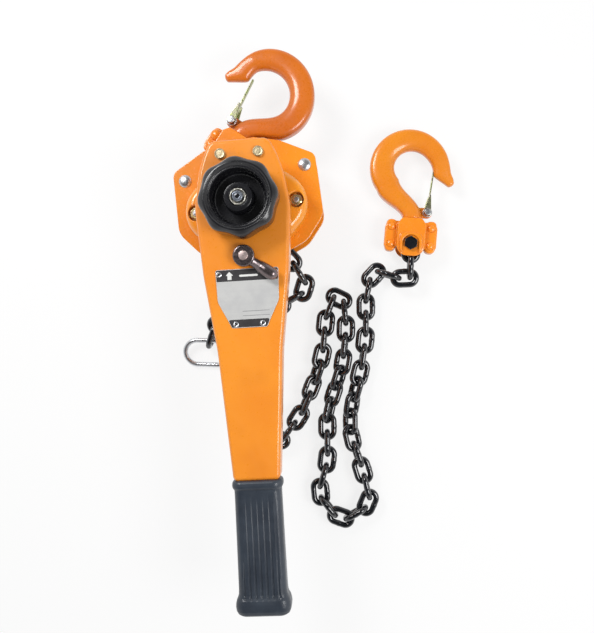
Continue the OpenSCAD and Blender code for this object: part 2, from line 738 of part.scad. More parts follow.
module change_gear() {
    half_step = 180 / change_teeth;
    foot_a = 4.6;
    tip_a = 2.8;
    points = [for (k = [0:change_teeth - 1]) let (a = lever_rest - 90 + 2 * half_step * k) each [
        polar(change_root, a - half_step), polar(change_root, a - foot_a), polar(change_r, a - tip_a),
        polar(change_r, a + tip_a), polar(change_root, a + foot_a)]];
    color("#9a9da1") difference() {
        union() {
            translate([0, 0, change_flange_z]) cylinder(r = disc_r + 1, h = change_flange_t);
            translate([0, 0, change_flange_z])
                cylinder(r = change_hub_r, h = change_z - change_flange_z);
            translate([0, 0, change_z]) linear_extrude(change_t) polygon(points);
            translate([0, 0, change_z]) cylinder(r = top_hub_r, h = lever_top + 0.5 - change_z);
        }
        cylinder(r = shaft_r, h = 200);
    }
}

// ---------------------------------------------------------------- lever

module on_lever() {
    rotate([0, 0, lever_rest]) children();
}

arm_end = lever_len - grip_l;
lever_right = [
    [lever_arm_w, -arm_end, 5], [31.5, -143, 60], [lever_head_w - 4.5, -70, 90],
    [lever_head_w + 0.5, -4, 60], [41, 30, 30], [36, 45, 12], [29, 61, 10]];
lever_outline = rounded(concat(lever_right, flip_x(lever_right)), 5);

// Tongue of the arm that the grip is pushed over
module tang() {
    translate([-tang_w, -arm_end - tang_l, lever_z + (lever_h - tang_h) / 2])
        cube([2 * tang_w, tang_l + 4, tang_h]);
}

module lever_outer() {
    hood = lever_top - lever_t;
    color("#f08c10") on_lever() difference() {
        union() {
            pressing(lever_outline, [[lever_z, 0], [lever_top - 4, 0], [lever_top - 1.8, 0.6],
                [lever_top - 0.5, 2], [lever_top, 3.8]]);
            tang();
        }
        difference() {
            translate([0, 0, lever_z - 1]) blank(lever_outline, lever_t, hood - lever_z + 1);
            translate([-50, -arm_end - 1, lever_z - 2]) cube([100, 6, lever_h]);
        }
        translate([0, 0, lever_z]) cylinder(r = top_hub_r + run_fit, h = lever_h + 1);
        translate([0, -selector_y, lever_z]) cylinder(r = selector_r + run_fit, h = lever_h + 1);
        for (x = [-lever_bolt_x, lever_bolt_x]) translate([x, lever_bolt_y, lever_z])
            cylinder(r = lever_bolt_r, h = lever_h + 1);
    }
}

module lever_inner() {
    color("#c8720c") on_lever() difference() {
        translate([0, 0, lever_z]) blank(lever_outline, lever_t + 0.05, lever_t);
        translate([-50, -arm_end - 2, lever_z - 1]) cube([100, 7.1, 10]);
        translate([0, 0, lever_z - 1]) cylinder(r = change_hub_r + run_fit, h = 10);
        translate([0, -selector_y, lever_z - 1]) cylinder(r = selector_r + run_fit, h = 10);
        for (x = [-lever_bolt_x, lever_bolt_x]) translate([x, lever_bolt_y, lever_z - 1])
            cylinder(r = lever_bolt_r, h = 10);
        for (y = [-190, -120]) translate([0, y, lever_z - 1]) cylinder(r = 8, h = 10);
    }
}

module lever_bolts() {
    color("#d8b24a") on_lever() for (x = [-lever_bolt_x, lever_bolt_x])
        translate([x, lever_bolt_y, 0]) {
        translate([0, 0, lever_z - 1]) cylinder(r = lever_bolt_r, h = lever_h + 1);
        translate([0, 0, lever_z + lever_t])
            ring(2 * lever_bolt_r, lever_bolt_r, lever_h - 2 * lever_t);
        translate([0, 0, lever_top]) dome(5.2, 2.6);
    }
}

// Ring of grip points at distance y along the arm, with flat sides and round corners
function grip_ring(y, w, h) = let (mid = lever_z + lever_h / 2, r = min(w, h) * 0.62,
    ring = rounded([[w, -h, r], [w, h, r], [-w, h, r], [-w, -h, r]], 6))
    [for (p = ring) [p.x, -y, mid + p.y]];

// Each row of the grip holds the distance from its mouth, the half width and the half height
module grip() {
    mouth = 4;
    start = arm_end - mouth;
    collar = grip_l - 16;
    groove_margin = 22;
    groove_l = grip_l - 2 * groove_margin;
    rows = [[0, 24, 13.5], [1.5, 25.5, 15], [11, 25.5, 15], [13.5, 23.5, 13.2], [18, 22.8, 12.6],
        [grip_l * 0.45, 23, 12.8], [collar - 4, 23.4, 13], [collar, 26, 14.8],
        [collar + 8, 27, 15.4], [grip_l, 26.4, 15], [grip_l + mouth, 22, 11.5]];
    color("#1d2530") on_lever() difference() {
        skin([for (s = rows) grip_ring(start + s[0], s[1], s[2])]);
        translate([-lever_arm_w - 0.4, -arm_end - 0.2, lever_z - slack])
            cube([2 * lever_arm_w + 0.8, 10, lever_h + 2 * slack]);
        tang();
        for (x = [-12.5, -7.5, -2.5, 2.5, 7.5, 12.5], z = [-12.2, 12.2])
            translate([x, -start - groove_margin - groove_l / 2, lever_z + lever_h / 2 + z])
                cube([1.6, groove_l, 1.8], center = true);
    }
}

module label_plate() {
    foot = label_y - label_l;
    half = [[17, foot, 2], [20.5, foot + 7.5, 3], [29.5, foot + 25.5, 12], [30.5, label_y, 2]];
    color("#c4c7ca") on_lever() translate([label_x, 0, lever_top]) difference() {
        linear_extrude(label_t) polygon(rounded(concat(half, flip_x(half)), 4));
        at_label_rivets() translate([0, 0, -1]) cylinder(r = 1.2, h = 3);
    }
}

module at_label_rivets() {
    for (side = [-1, 1]) {
        translate([side * 27.2, label_y - 4.5, 0]) children();
        translate([side * 13, label_y - label_l + 3.5, 0]) children();
    }
}

module label_rivets() {
    color("#d5d8dc") on_lever() translate([label_x, 0, lever_top]) at_label_rivets() {
        cylinder(r = 1.2, h = label_t);
        translate([0, 0, label_t]) dome(2.4, 0.6);
    }
}

// Sprung plunger that holds the selector, carried on the inner sheet of the lever
module detent() {
    tip_y = -selector_y - cam_r - slack;
    color("#b8bcc2") on_lever() {
        translate([0, tip_y - 2.6, cam_z + cam_h / 2]) rotate([90, 0, 0]) cylinder(r = 2.6, h = 16);
        translate([0, tip_y - 2.6, cam_z + cam_h / 2]) sphere(r = 2.6);
        translate([-5.5, tip_y - 19, lever_z + lever_t])
            cube([11, 11, cam_z + cam_h + 2 - lever_z - lever_t]);
    }
}

module selector() {
    knob_y = 12;
    knob_r = 6;
    knob_l = 20;
    color("#4a4d52") on_lever() translate([0, -selector_y, 0]) {
        translate([0, 0, lever_z + 0.4]) cylinder(r = selector_r, h = lever_h + 1);
        rotate([0, 0, selector_swing]) translate([0, 0, lever_top + 1.2]) {
            translate([0, 0, -0.8]) cylinder(r = 10.5, h = 8.8);
            translate([-4, -18, 0.2]) cube([8, 18, 5.6]);
            translate([0, -knob_y, 6.6]) rotate([90, 0, 0]) {
                cylinder(r = 4.6, h = 4);
                translate([0, 0, 4]) cylinder(r = knob_r, h = knob_l - 4);
                translate([0, 0, knob_l]) sphere(r = knob_r);
            }
        }
    }
}

module selector_nut() {
    color("#c9b48a") on_lever() translate([0, -selector_y, lever_top + 9.2]) cylinder(r = 4.5, h = 1.2);
}

// One claw of the change pawl, drawn as it sits in the change gear
function from_hub(r, a) = [r * sin(a), -r * cos(a) + selector_y];
module claw() {
    grip_a = 29.5;
    polygon([from_hub(change_root + 1.5, grip_a - 2.6), from_hub(change_r + 1, grip_a - 4),
        from_hub(change_r + 5.5, grip_a - 6.5), [-1, 8.5], [8.9, 1],
        from_hub(change_r + 6, grip_a + 6.5),
        from_hub(change_r + 1, grip_a + 4), from_hub(change_root + 1.5, grip_a + 2.6)]);
}

module change_pawl() {
    color("#85888c") on_lever() translate([0, -selector_y, 0]) rotate([0, 0, selector_swing])
        difference() {
        union() {
            translate([0, 0, change_z + 0.5]) linear_extrude(change_t - 1.5) {
                rotate(-selector_swing) claw();
                mirror([1, 0]) rotate(-selector_swing) claw();
                circle(r = 9);
            }
            translate([0, 0, change_z]) cylinder(r = 9, h = cam_z - change_z);
            translate([0, 0, cam_z]) linear_extrude(cam_h) difference() {
                circle(r = cam_r);
                for (a = [-selector_swing, 0, selector_swing]) rotate(a)
                    translate([0, -cam_r - 1.8]) circle(r = 3.4);
            }
        }
        translate([0, 0, change_z - 1]) cylinder(r = selector_r, h = 30);
    }
}

// Hand wheel with lobes, a rim and a sunk dish
module hand_wheel() {
    lobes = 8;
    ripple = 1.15;
    base = wheel_r - ripple;
    outline = [for (i = [0:95]) let (a = i * 360 / 96) polar(base + ripple * cos(lobes * a), a)];
    top = wheel_z + wheel_h;
    color("#17181a") difference() {
        pressing(outline, [[wheel_z, 5], [wheel_z + 1.5, 2.4], [wheel_z + 5, 0.6], [wheel_z + 9, 0],
            [top - 6, 0], [top - 2.5, 0.9], [top - 0.7, 2.6], [top, 4.6]]);
        translate([0, 0, wheel_floor]) ring(26.5, 13.5, wheel_h);
        translate([0, 0, top - 6]) cylinder(r = 26.5, h = 7);
        translate([0, 0, top - 3]) cylinder(r1 = 27.5, r2 = 31.5, h = 3.01);
        translate([0, 0, wheel_nut_z]) cylinder(r = 8.4, h = wheel_h);
        translate([0, 0, wheel_z - 1]) cylinder(r = shaft_r, h = wheel_h);
    }
}

module wheel_nut() {
    color("#cdb872") translate([0, 0, wheel_nut_z]) difference() {
        cylinder(r = 7.8, h = nut_h);
        translate([0, 0, -1]) cylinder(r = 5, h = nut_h + 2);
        for (a = [0:60:300]) rotate([0, 0, a]) translate([6.4, 0, nut_h])
            cube([5, 2.4, 5], center = true);
    }
}

// ---------------------------------------------------------------- hooks

// Place children in a hook frame: pin at the origin, shank along +Y, bowl opening to -X
module at_top_hook() {
    translate([-top_pin_x, top_pin_y, mid_z]) rotate([0, 0, -top_lean]) children();
}
module at_bottom_hook() {
    translate(chain_pin_at) rotate([0, 0, -bottom_lean]) mirror([1, 0, 0])
        scale(bottom_scale) children();
}

bowl_c = [0, bowl_y];
function bowl_point(r, a) = bowl_c + r * [sin(a), -cos(a)];
function bowl_in(a) = bowl_r + (a - 60) / 175;
function bowl_out(a) = bowl_r + hook_depth - 2.5 * min(1, max(0, (a - 100) / 70));

// Cross-section ring between inner point p and outer point q with half thickness h
function hook_ring(p, q, h) = let (c = (p + q) / 2, w = (q - p) / 2) [for (j = [0:15]) let (
    a = j * 22.5, u = sign(cos(a)) * pow(abs(cos(a)), 0.85), v = sign(sin(a)) * pow(abs(sin(a)), 0.85))
    [c.x + w.x * u, c.y + w.y * u, -h * v]];

collar_y = 29.8;
neck_rings = [for (i = [0:5]) let (t = i / 6) hook_ring(
    bezier([-neck_r, collar_y], [-neck_r, collar_y + 23], [12.8, bowl_y - 26],
        bowl_point(bowl_in(60), 60), t),
    bezier([neck_r, collar_y], [neck_r, collar_y + 11], [35.7, bowl_y - 39],
        bowl_point(bowl_out(60), 60), t),
    neck_r + (hook_half_t - neck_r) * t)];
bowl_rings = [for (i = [0:14]) let (a = 60 + 12.5 * i) hook_ring(
    bowl_point(bowl_in(a), a), bowl_point(bowl_out(a), a), hook_half_t - 1.8 * i / 14)];
nose_rings = [for (i = [1:6]) let (t = i / 6) hook_ring(
    bezier(bowl_point(bowl_in(235), 235), [-27.4, bowl_y + 4.5], [-28.7, bowl_y - 1.5],
        [-44, bowl_y - 10.5], t),
    bezier(bowl_point(bowl_out(235), 235), [-47.3, bowl_y + 16], [-51, bowl_y + 2],
        [-50, bowl_y - 6], t),
    hook_half_t - 1.8 - 3.5 * t)];

module hook() {
    difference() {
        union() {
            skin(concat(neck_rings, bowl_rings, nose_rings));
            rotate([-90, 0, 0]) {
                translate([0, 0, 14]) cylinder(r = shank_r, h = 20);
                translate([0, 0, head_y]) cylinder(r = head_r, h = head_h);
            }
            translate([latch_x, latch_y, -6]) cylinder(r = 6, h = 7);
            translate([latch_x, latch_y - 6, -6]) cube([10, 12, 7]);
        }
        translate([latch_x, latch_y, -10]) cylinder(r = latch_pin_r, h = 20);
    }
}

module latch() {
    tip = [-23, 88];
    lean = atan2(latch_x - tip.x, tip.y - latch_y);
    reach = norm(tip - [latch_x, latch_y]);
    translate([latch_x, latch_y, 0]) rotate([0, 0, lean]) {
        difference() {
            union() {
                translate([-1, 8, -8.6]) cube([2, reach - 8, 17.2]);
                for (z = [-8.6, 6.6]) translate([0, 0, z]) {
                    cylinder(r = 5, h = 2);
                    linear_extrude(2) polygon([[-4.6, -2], [4.9, 0.5], [1, 26], [-1, 26], [-3.5, 10]]);
                }
            }
            translate([0, 0, -12]) cylinder(r = latch_pin_r + run_fit, h = 24);
        }
    }
}

module latch_pin() {
    translate([latch_x, latch_y, 0]) {
        translate([0, 0, -9.4]) cylinder(r = latch_pin_r, h = 18.8);
        for (z = [-10.6, 8.9]) translate([0, 0, z]) cylinder(r = 4, h = 1.7);
    }
}

module latch_spring() {
    translate([latch_x, latch_y, 1.9]) coil(latch_coil_r, latch_coil_wire_r, 2, latch_coil_pitch);
}
echo(latch_spring_gap = coil_gap(latch_coil_r, latch_coil_wire_r, 2, latch_coil_pitch));

// One forged half of a yoke, on the +Z side of the hook plane
module yoke_half(half_t, ear_w, ear_y0, ear_y1, pin_r, hood_t) {
    foot = 14.5;
    color("#f08c10") difference() {
        union() {
            linear_extrude(half_t) polygon(rounded([[16, -foot, 12], [16, 23, 2], [11, 29.5, 3],
                [-11, 29.5, 3], [-16, 23, 2], [-16, -foot, 12]]));
            linear_extrude(ear_t) polygon(rounded([[ear_w - 6, ear_y0, 3], [ear_w, ear_y0 + 5, 5],
                [ear_w, ear_y1 - 5, 5], [ear_w - 6, ear_y1, 4], [6 - ear_w, ear_y1, 4],
                [-ear_w, ear_y1 - 5, 5], [-ear_w, ear_y0 + 5, 5], [6 - ear_w, ear_y0, 3]]));
            if (hood_t > half_t) difference() {
                linear_extrude(hood_t) polygon(rounded([[12.5, -foot + 1.5, 8], [12.5, 12, 6],
                    [-12.5, 12, 6], [-12.5, -foot + 1.5, 8]]));
                translate([0, 0, half_t]) cylinder(r = bolt_room, h = 10);
                translate([-bolt_room, -30, half_t]) cube([2 * bolt_room, 30, 10]);
            }
        }
        translate([0, 0, -1]) cylinder(r = pin_r, h = half_t + 5);
        rotate([-90, 0, 0]) {
            translate([0, 0, 14]) cylinder(r = shank_r + run_fit, h = 20);
            translate([0, 0, head_y - 0.3]) cylinder(r = head_r + 0.4, h = head_h + 0.6);
        }
        for (x = [-yoke_rivet_x, yoke_rivet_x], y = [ear_y0 + 8, ear_y1 - 8])
            translate([x, y, -1]) cylinder(r = yoke_rivet_r, h = ear_t + 2);
    }
}

// The side of the bottom yoke is open below for the last links of the chain
module chain_yoke_half() {
    link_half = (chain_wire / 2 + 0.5) / bottom_scale;
    wide_half = (link_w / 2 + 0.9) / bottom_scale;
    difference() {
        yoke_half(chain_yoke_t, 30, -9, 26, chain_pin_r, chain_yoke_t + 3);
        translate([0, 0, -1]) cylinder(r = wide_half, h = link_half + 1);
        translate([-20, -30, -1]) cube([40, 30, link_half + 1]);
        translate([-20, -38, -1]) cube([40, 38 - chain_pin_r - 0.3, wide_half + 0.4 + 1]);
    }
}

module top_yoke_front() {
    at_top_hook() yoke_half(top_yoke_t, 28, -4, 24, top_pin_r + run_fit, 0);
}
module top_yoke_rear() {
    at_top_hook() mirror([0, 0, 1]) yoke_half(top_yoke_t, 28, -4, 24, top_pin_r + run_fit, 0);
}
module bottom_yoke_front() {
    at_bottom_hook() chain_yoke_half();
}
module bottom_yoke_rear() {
    at_bottom_hook() mirror([0, 0, 1]) chain_yoke_half();
}

module yoke_rivets(ear_y0, ear_y1) {
    color("#f08c10") for (x = [-yoke_rivet_x, yoke_rivet_x], y = [ear_y0 + 8, ear_y1 - 8])
        translate([x, y, 0]) {
            cylinder(r = yoke_rivet_r, h = 2 * ear_t, center = true);
            translate([0, 0, ear_t]) dome(4.2, 2.4);
            mirror([0, 0, 1]) translate([0, 0, ear_t]) dome(4.2, 2.4);
        }
}
module top_yoke_rivets() { at_top_hook() yoke_rivets(-4, 24); }
module bottom_yoke_rivets() { at_bottom_hook() yoke_rivets(-9, 26); }

module chain_pin() {
    color("#2b2c2e") at_bottom_hook() {
        cylinder(r = chain_pin_r, h = 31, center = true);
        for (side = [0, 1]) mirror([0, 0, side]) translate([0, 0, chain_yoke_t])
            cylinder(r = bolt_head_r, h = 3.4, $fn = 6);
    }
}

module top_hook() { color("#f08c10") at_top_hook() hook(); }
module top_latch() { color("#b9b45c") at_top_hook() latch(); }
module top_latch_pin() { color("#3a3b3e") at_top_hook() latch_pin(); }
module top_latch_spring() { color("#b8bcc2") at_top_hook() latch_spring(); }
module bottom_hook() { color("#f08c10") at_bottom_hook() hook(); }
module bottom_latch() { color("#b9b45c") at_bottom_hook() latch(); }
module bottom_latch_pin() { color("#3a3b3e") at_bottom_hook() latch_pin(); }
module bottom_latch_spring() { color("#b8bcc2") at_bottom_hook() latch_spring(); }

// ---------------------------------------------------------------- chain runs

module load_chain_drop() { links(load_run, 0, 14); }
module load_chain_fold() { links(load_run, 15, 36); }
module load_chain_end() { links(load_run, 37, load_links - 1); }
module slack_chain() { links(slack_run, 0, slack_links - 1); }

// Ring that stops the slack end, its upper leg held in the last link
module end_ring() {
    half_l = (ring_l - ring_w) / 2;
    mid_r = (ring_w - ring_wire) / 2;
    color("#c3c6c9") translate(ring_at) rotate([0, 0, ring_lean]) rotate([ring_tilt, 0, 0])
        translate([ring_shift, -mid_r, 0]) {
            for (end = [0, 180]) rotate([0, 0, end]) {
                translate([half_l, 0, 0]) rotate([0, 0, -90])
                    rotate_extrude(angle = 180) translate([mid_r, 0]) circle(d = ring_wire);
                translate([-half_l, mid_r, 0]) rotate([0, 90, 0])
                    cylinder(d = ring_wire, h = 2 * half_l);
            }
        }
}

// ---------------------------------------------------------------- nodes

rear_plate();
front_plate();
stays();
chain_stripper();
chain_guides();
sheave_bearings();
top_pin();
brake_cover();
cover_nuts();
gear_cover();
pawl_studs();
pawl_springs();
ratchet_disc();
load_chain_drop();
load_chain_fold();
load_chain_end();
slack_chain();
pinion_shaft();
brake_hub();
friction_discs();
change_gear();
hand_wheel();
wheel_nut();
gear_left();
gear_right();
load_gear();
load_sheave();
chain_wrap();
brake_pawl_left();
brake_pawl_right();
lever_outer();
lever_inner();
lever_bolts();
grip();
label_plate();
label_rivets();
detent();
selector();
change_pawl();
selector_nut();
top_yoke_front();
top_yoke_rear();
top_yoke_rivets();
top_hook();
top_latch_pin();
top_latch_spring();
top_latch();
bottom_yoke_front();
bottom_yoke_rear();
bottom_yoke_rivets();
chain_pin();
bottom_hook();
bottom_latch_pin();
bottom_latch_spring();
bottom_latch();
end_ring();
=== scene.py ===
"""Looks of a lever chain hoist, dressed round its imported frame.

Shapes are worked out with numpy in millimetres, in the frame's own axes: the main shaft is the Z
axis, +Y points to the top hook and z = 0 is the back of the gear case. They turn into metres as
they become meshes, so every object sits unturned at the origin.
"""

import json
import logging
from dataclasses import dataclass, field
from enum import Enum
from math import cos, degrees, pi, radians, sin
from typing import Callable, Optional, Sequence

import bmesh
import bpy
import numpy as np
from mathutils import Matrix, Vector
from mathutils.geometry import tessellate_polygon

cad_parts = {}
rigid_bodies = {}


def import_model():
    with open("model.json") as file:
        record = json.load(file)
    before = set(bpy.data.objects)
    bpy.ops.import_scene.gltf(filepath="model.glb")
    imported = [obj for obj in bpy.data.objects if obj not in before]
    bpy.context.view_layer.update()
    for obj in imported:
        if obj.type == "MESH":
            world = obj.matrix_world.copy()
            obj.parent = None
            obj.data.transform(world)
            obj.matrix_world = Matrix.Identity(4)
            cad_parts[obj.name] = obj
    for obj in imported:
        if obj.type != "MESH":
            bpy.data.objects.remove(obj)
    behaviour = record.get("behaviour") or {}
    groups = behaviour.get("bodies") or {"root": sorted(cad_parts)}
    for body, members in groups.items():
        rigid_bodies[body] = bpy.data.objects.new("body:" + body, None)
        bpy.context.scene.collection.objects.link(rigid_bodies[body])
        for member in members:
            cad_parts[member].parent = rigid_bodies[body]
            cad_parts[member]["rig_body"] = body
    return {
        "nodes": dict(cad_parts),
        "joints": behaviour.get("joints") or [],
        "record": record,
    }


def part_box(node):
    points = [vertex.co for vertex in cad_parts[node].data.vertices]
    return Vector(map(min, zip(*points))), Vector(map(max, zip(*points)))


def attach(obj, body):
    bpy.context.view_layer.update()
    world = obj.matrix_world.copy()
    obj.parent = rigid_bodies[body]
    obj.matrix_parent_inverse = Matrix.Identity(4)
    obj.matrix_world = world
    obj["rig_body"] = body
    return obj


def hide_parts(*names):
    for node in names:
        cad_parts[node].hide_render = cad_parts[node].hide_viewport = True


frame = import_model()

# A millimetre in metres, the lever's lean in degrees, the selector's place along the lever in
# millimetres, the turn in degrees above which an edge stays crisp, and the signs of left and right.
MM = 0.001
LEVER_LEAN = -4.0
SELECTOR_Y = -53.0
CRISP = 38.0
BOTH = (-1, 1)
log = logging.getLogger("lever_hoist")
Array = np.ndarray
Spot = tuple[float, float]
Row = tuple[float, float, float]
Colour = tuple[float, float, float]
Place = Callable[[Array], Array]
Outline = Callable[[Array, Array], Array]
Piece = bpy.types.Object
Material = bpy.types.Material
Socket = bpy.types.NodeSocket
SLOT_OF = {row["node"]: row["material_slot"] for row in frame["record"]["subparts"]}


# ---------------------------------------------------------------- places


def unit(v: Array) -> Array:
    """Vectors along the last axis, brought to length one."""
    return v / np.linalg.norm(v, axis=-1, keepdims=True)


def turned(points: Array, angle: float) -> Array:
    """Points turned about the Z axis by an angle in degrees, counter-clockwise seen from +Z."""
    a = radians(angle)
    return points @ np.array([[cos(a), sin(a), 0.0], [-sin(a), cos(a), 0.0], [0.0, 0.0, 1.0]])


def moved(x: float, y: float, z: float) -> Place:
    """A placing function that moves points by a fixed step."""
    return lambda p: p + np.array([x, y, z])


def pair(x: float, y: float) -> list[Spot]:
    """A place on the left and its mirror image on the right."""
    return [(side * x, y) for side in BOTH]


def low(node: str) -> Array:
    """Lowest corner of a frame node in millimetres."""
    return np.array(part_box(node)[0]) / MM


def high(node: str) -> Array:
    """Highest corner of a frame node in millimetres."""
    return np.array(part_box(node)[1]) / MM


def joint_place(name: str) -> Array:
    """Place of one of the frame's joints in millimetres."""
    return np.array(next(j["pos_m"] for j in frame["joints"] if j["name"] == name)) / MM


# ---------------------------------------------------------------- outlines


def rounded(rows: Sequence[Row], steps: int = 8) -> Array:
    """A closed outline with every corner rounded.

    Each corner arc touches both its sides: its centre lies on the corner's bisector at
    radius / sin(half angle) from the corner, and the arc runs from one touching point to the next.

    Args:
        rows: corners as (x, y, radius), counter-clockwise.
        steps: spans in each corner arc.

    Returns:
        Points (n, 2).
    """
    table = np.array(rows, float)
    c = table[:, :2]
    r = np.maximum(table[:, 2:], 1e-4)
    a = unit(np.roll(c, 1, 0) - c)
    b = unit(np.roll(c, -1, 0) - c)
    half = np.arccos(np.clip((a * b).sum(1, keepdims=True), -1, 1)) / 2
    centre = c + unit(a + b) * r / np.sin(half)
    start = c + a * r / np.tan(half) - centre
    end = c + b * r / np.tan(half) - centre
    first = np.arctan2(start[:, 1], start[:, 0])
    sweep = np.arctan2(end[:, 1], end[:, 0]) - first
    sweep = (sweep + pi) % (2 * pi) - pi
    angle = first[:, None] + sweep[:, None] * np.linspace(0, 1, steps + 1)[None, :]
    ring = centre[:, None, :] + r[:, None, :] * np.stack([np.cos(angle), np.sin(angle)], -1)
    return ring.reshape(-1, 2)


def mirrored(rows: Sequence[Row]) -> list[Row]:
    """The right half of an outline followed by its mirror image across x = 0."""
    return list(rows) + [(-x, y, r) for x, y, r in reversed(list(rows))]


def arc(centre: Spot, radius: float, start: float, end: float, steps: int) -> Array:
    """Points (steps + 1, 2) of a circle's arc from angle start to end in degrees."""
    a = np.radians(np.linspace(start, end, steps + 1))
    return np.array(centre) + radius * np.stack([np.cos(a), np.sin(a)], -1)


def circle(centre: Spot, radius: float, steps: int = 64) -> Array:
    """Points (steps, 2) of a whole circle."""
    return arc(centre, radius, 0, 360, steps)[:-1]


def inset(outline: Array, distance: Sequence[float]) -> Array:
    """An outline moved inwards, once for each distance.

    Every point moves along the normal of its mean tangent, by the distance over the cosine of
    half the turn, so that each side moves by exactly the distance.

    Args:
        outline: counter-clockwise points (n, 2).
        distance: k distances, negative ones outwards.

    Returns:
        Points (k, n, 2).
    """
    a = unit(outline - np.roll(outline, 1, 0))
    b = unit(np.roll(outline, -1, 0) - outline)
    t = unit(a + b)
    step = np.stack([-t[:, 1], t[:, 0]], -1) / (t * a).sum(1, keepdims=True)
    return outline[None] + np.asarray(distance, float)[:, None, None] * step[None]


def quarter(steps: int) -> tuple[Array, Array]:
    """How far in and how far up a quarter round is, both from 0 to 1, at steps + 1 places."""
    a = np.linspace(0, pi / 2, steps + 1)
    return 1 - np.cos(a), np.sin(a)


def bezier(a: Array, b: Array, c: Array, d: Array, t: Array) -> Array:
    """A cubic curve from a to d with handles b and c, at the parameters t."""
    t = t[:, None]
    return (1 - t) ** 3 * a + 3 * t * (1 - t) ** 2 * b + 3 * t * t * (1 - t) * c + t**3 * d


# ---------------------------------------------------------------- meshes


def lifted(rings: Array, height: Sequence[float]) -> Array:
    """Flat rings (k, n, 2) brought to their heights (k,)."""
    z = np.broadcast_to(np.asarray(height, float)[:, None, None], (*rings.shape[:2], 1))
    return np.concatenate([rings, z], -1)


@dataclass
class Shape:
    """Points and faces in millimetres, gathered until they become one mesh."""

    points: list[Array] = field(default_factory=list)
    faces: list[Array] = field(default_factory=list)
    count: int = 0

    def take(self, points: Array, faces: Array) -> "Shape":
        """Adds points and faces.

        Args:
            points: points (n, 3).
            faces: faces (m, corners) that count from the first of the points.

        Returns:
            The shape itself.
        """
        self.points.append(np.asarray(points, float))
        self.faces.append(np.asarray(faces, int) + self.count)
        self.count += len(points)
        return self

    def join(self, other: "Shape") -> "Shape":
        """Adds all points and faces of another shape.

        Args:
            other: the other shape, which stays as it is.

        Returns:
            The shape itself.
        """
        start = self.count
        self.points += other.points
        self.faces += [faces + start for faces in other.faces]
        self.count += other.count
        return self

    def repeated(self, spots: Sequence[Spot], z: float = 0.0) -> "Shape":
        """Copies of the shape at several places.

        Args:
            spots: the places (x, y).
            z: how far all copies are raised.

        Returns:
            A new shape with all the copies.
        """
        copies = Shape()
        for x, y in spots:
            copies.join(Shape(self.points, self.faces, self.count).at(moved(x, y, z)))
        return copies

    def grid(self, rings: Array, close_rows: bool = False) -> "Shape":
        """Adds a surface over a grid of points, closed around each ring.

        Args:
            rings: points (rows, columns, 3).
            close_rows: joins the last ring to the first as well.

        Returns:
            The shape itself.
        """
        rows, columns = rings.shape[:2]
        i = np.arange(rows if close_rows else rows - 1)[:, None]
        j = np.arange(columns)[None, :]
        here, there = i * columns, ((i + 1) % rows) * columns
        nxt = (j + 1) % columns
        quads = np.stack([here + j, here + nxt, there + nxt, there + j], -1)
        return self.take(rings.reshape(-1, 3), quads.reshape(-1, 4))

    def loft(self, rings: Array) -> "Shape":
        """Adds a closed solid through rings, with a pole at the middle of each end ring.

        Args:
            rings: points (rows, columns, 3).

        Returns:
            The shape itself.
        """
        first = np.repeat(rings[:1].mean(1, keepdims=True), rings.shape[1], 1)
        last = np.repeat(rings[-1:].mean(1, keepdims=True), rings.shape[1], 1)
        return self.grid(np.concatenate([first, rings, last]))

    def flat(self, outline: Array, holes: Sequence[Array], z: float) -> "Shape":
        """Adds a flat face between an outline and its holes.

        Args:
            outline: points (n, 2).
            holes: outlines that stay open.
            z: the face's height.

        Returns:
            The shape itself.
        """
        loops = [np.column_stack([p, np.full(len(p), z)]) for p in (outline, *holes)]
        triangles = tessellate_polygon([[Vector(p) for p in loop] for loop in loops])
        return self.take(np.concatenate(loops), np.array(triangles))

    def at(self, place: Place) -> "Shape":
        """Puts every point through a placing function."""
        self.points = [place(p) for p in self.points]
        return self

    def object(self, name: str, material: Material, sharp: float = CRISP) -> Piece:
        """Turns the shape into an object at the origin.

        Args:
            name: the object's name.
            material: its finish.
            sharp: edges that turn by more than this many degrees stay crisp.

        Returns:
            The new object.
        """
        mesh = bpy.data.meshes.new(name)
        faces = [face for block in self.faces for face in block.tolist()]
        mesh.from_pydata((np.concatenate(self.points) * MM).tolist(), [], faces)
        work = bmesh.new()
        work.from_mesh(mesh)
        bmesh.ops.remove_doubles(work, verts=work.verts, dist=2e-6)
        bmesh.ops.dissolve_degenerate(work, dist=1e-6, edges=work.edges)
        bmesh.ops.recalc_face_normals(work, faces=work.faces)
        work.to_mesh(mesh)
        work.free()
        mesh.shade_smooth()
        mesh.set_sharp_from_angle(angle=radians(sharp))
        mesh.materials.append(material)
        piece = bpy.data.objects.new(name, mesh)
        bpy.context.scene.collection.objects.link(piece)
        return piece


def slab(outline: Array, levels: Sequence[Spot]) -> Shape:
    """A solid over an outline, with flat ends.

    Args:
        outline: counter-clockwise points (n, 2).
        levels: rows (height, inset) that its walls run through, from the bottom up.

    Returns:
        The shape.
    """
    z, d = np.array(levels, float).T
    rings = inset(outline, d)
    return Shape().grid(lifted(rings, z)).flat(rings[0], [], z[0]).flat(rings[-1], [], z[-1])


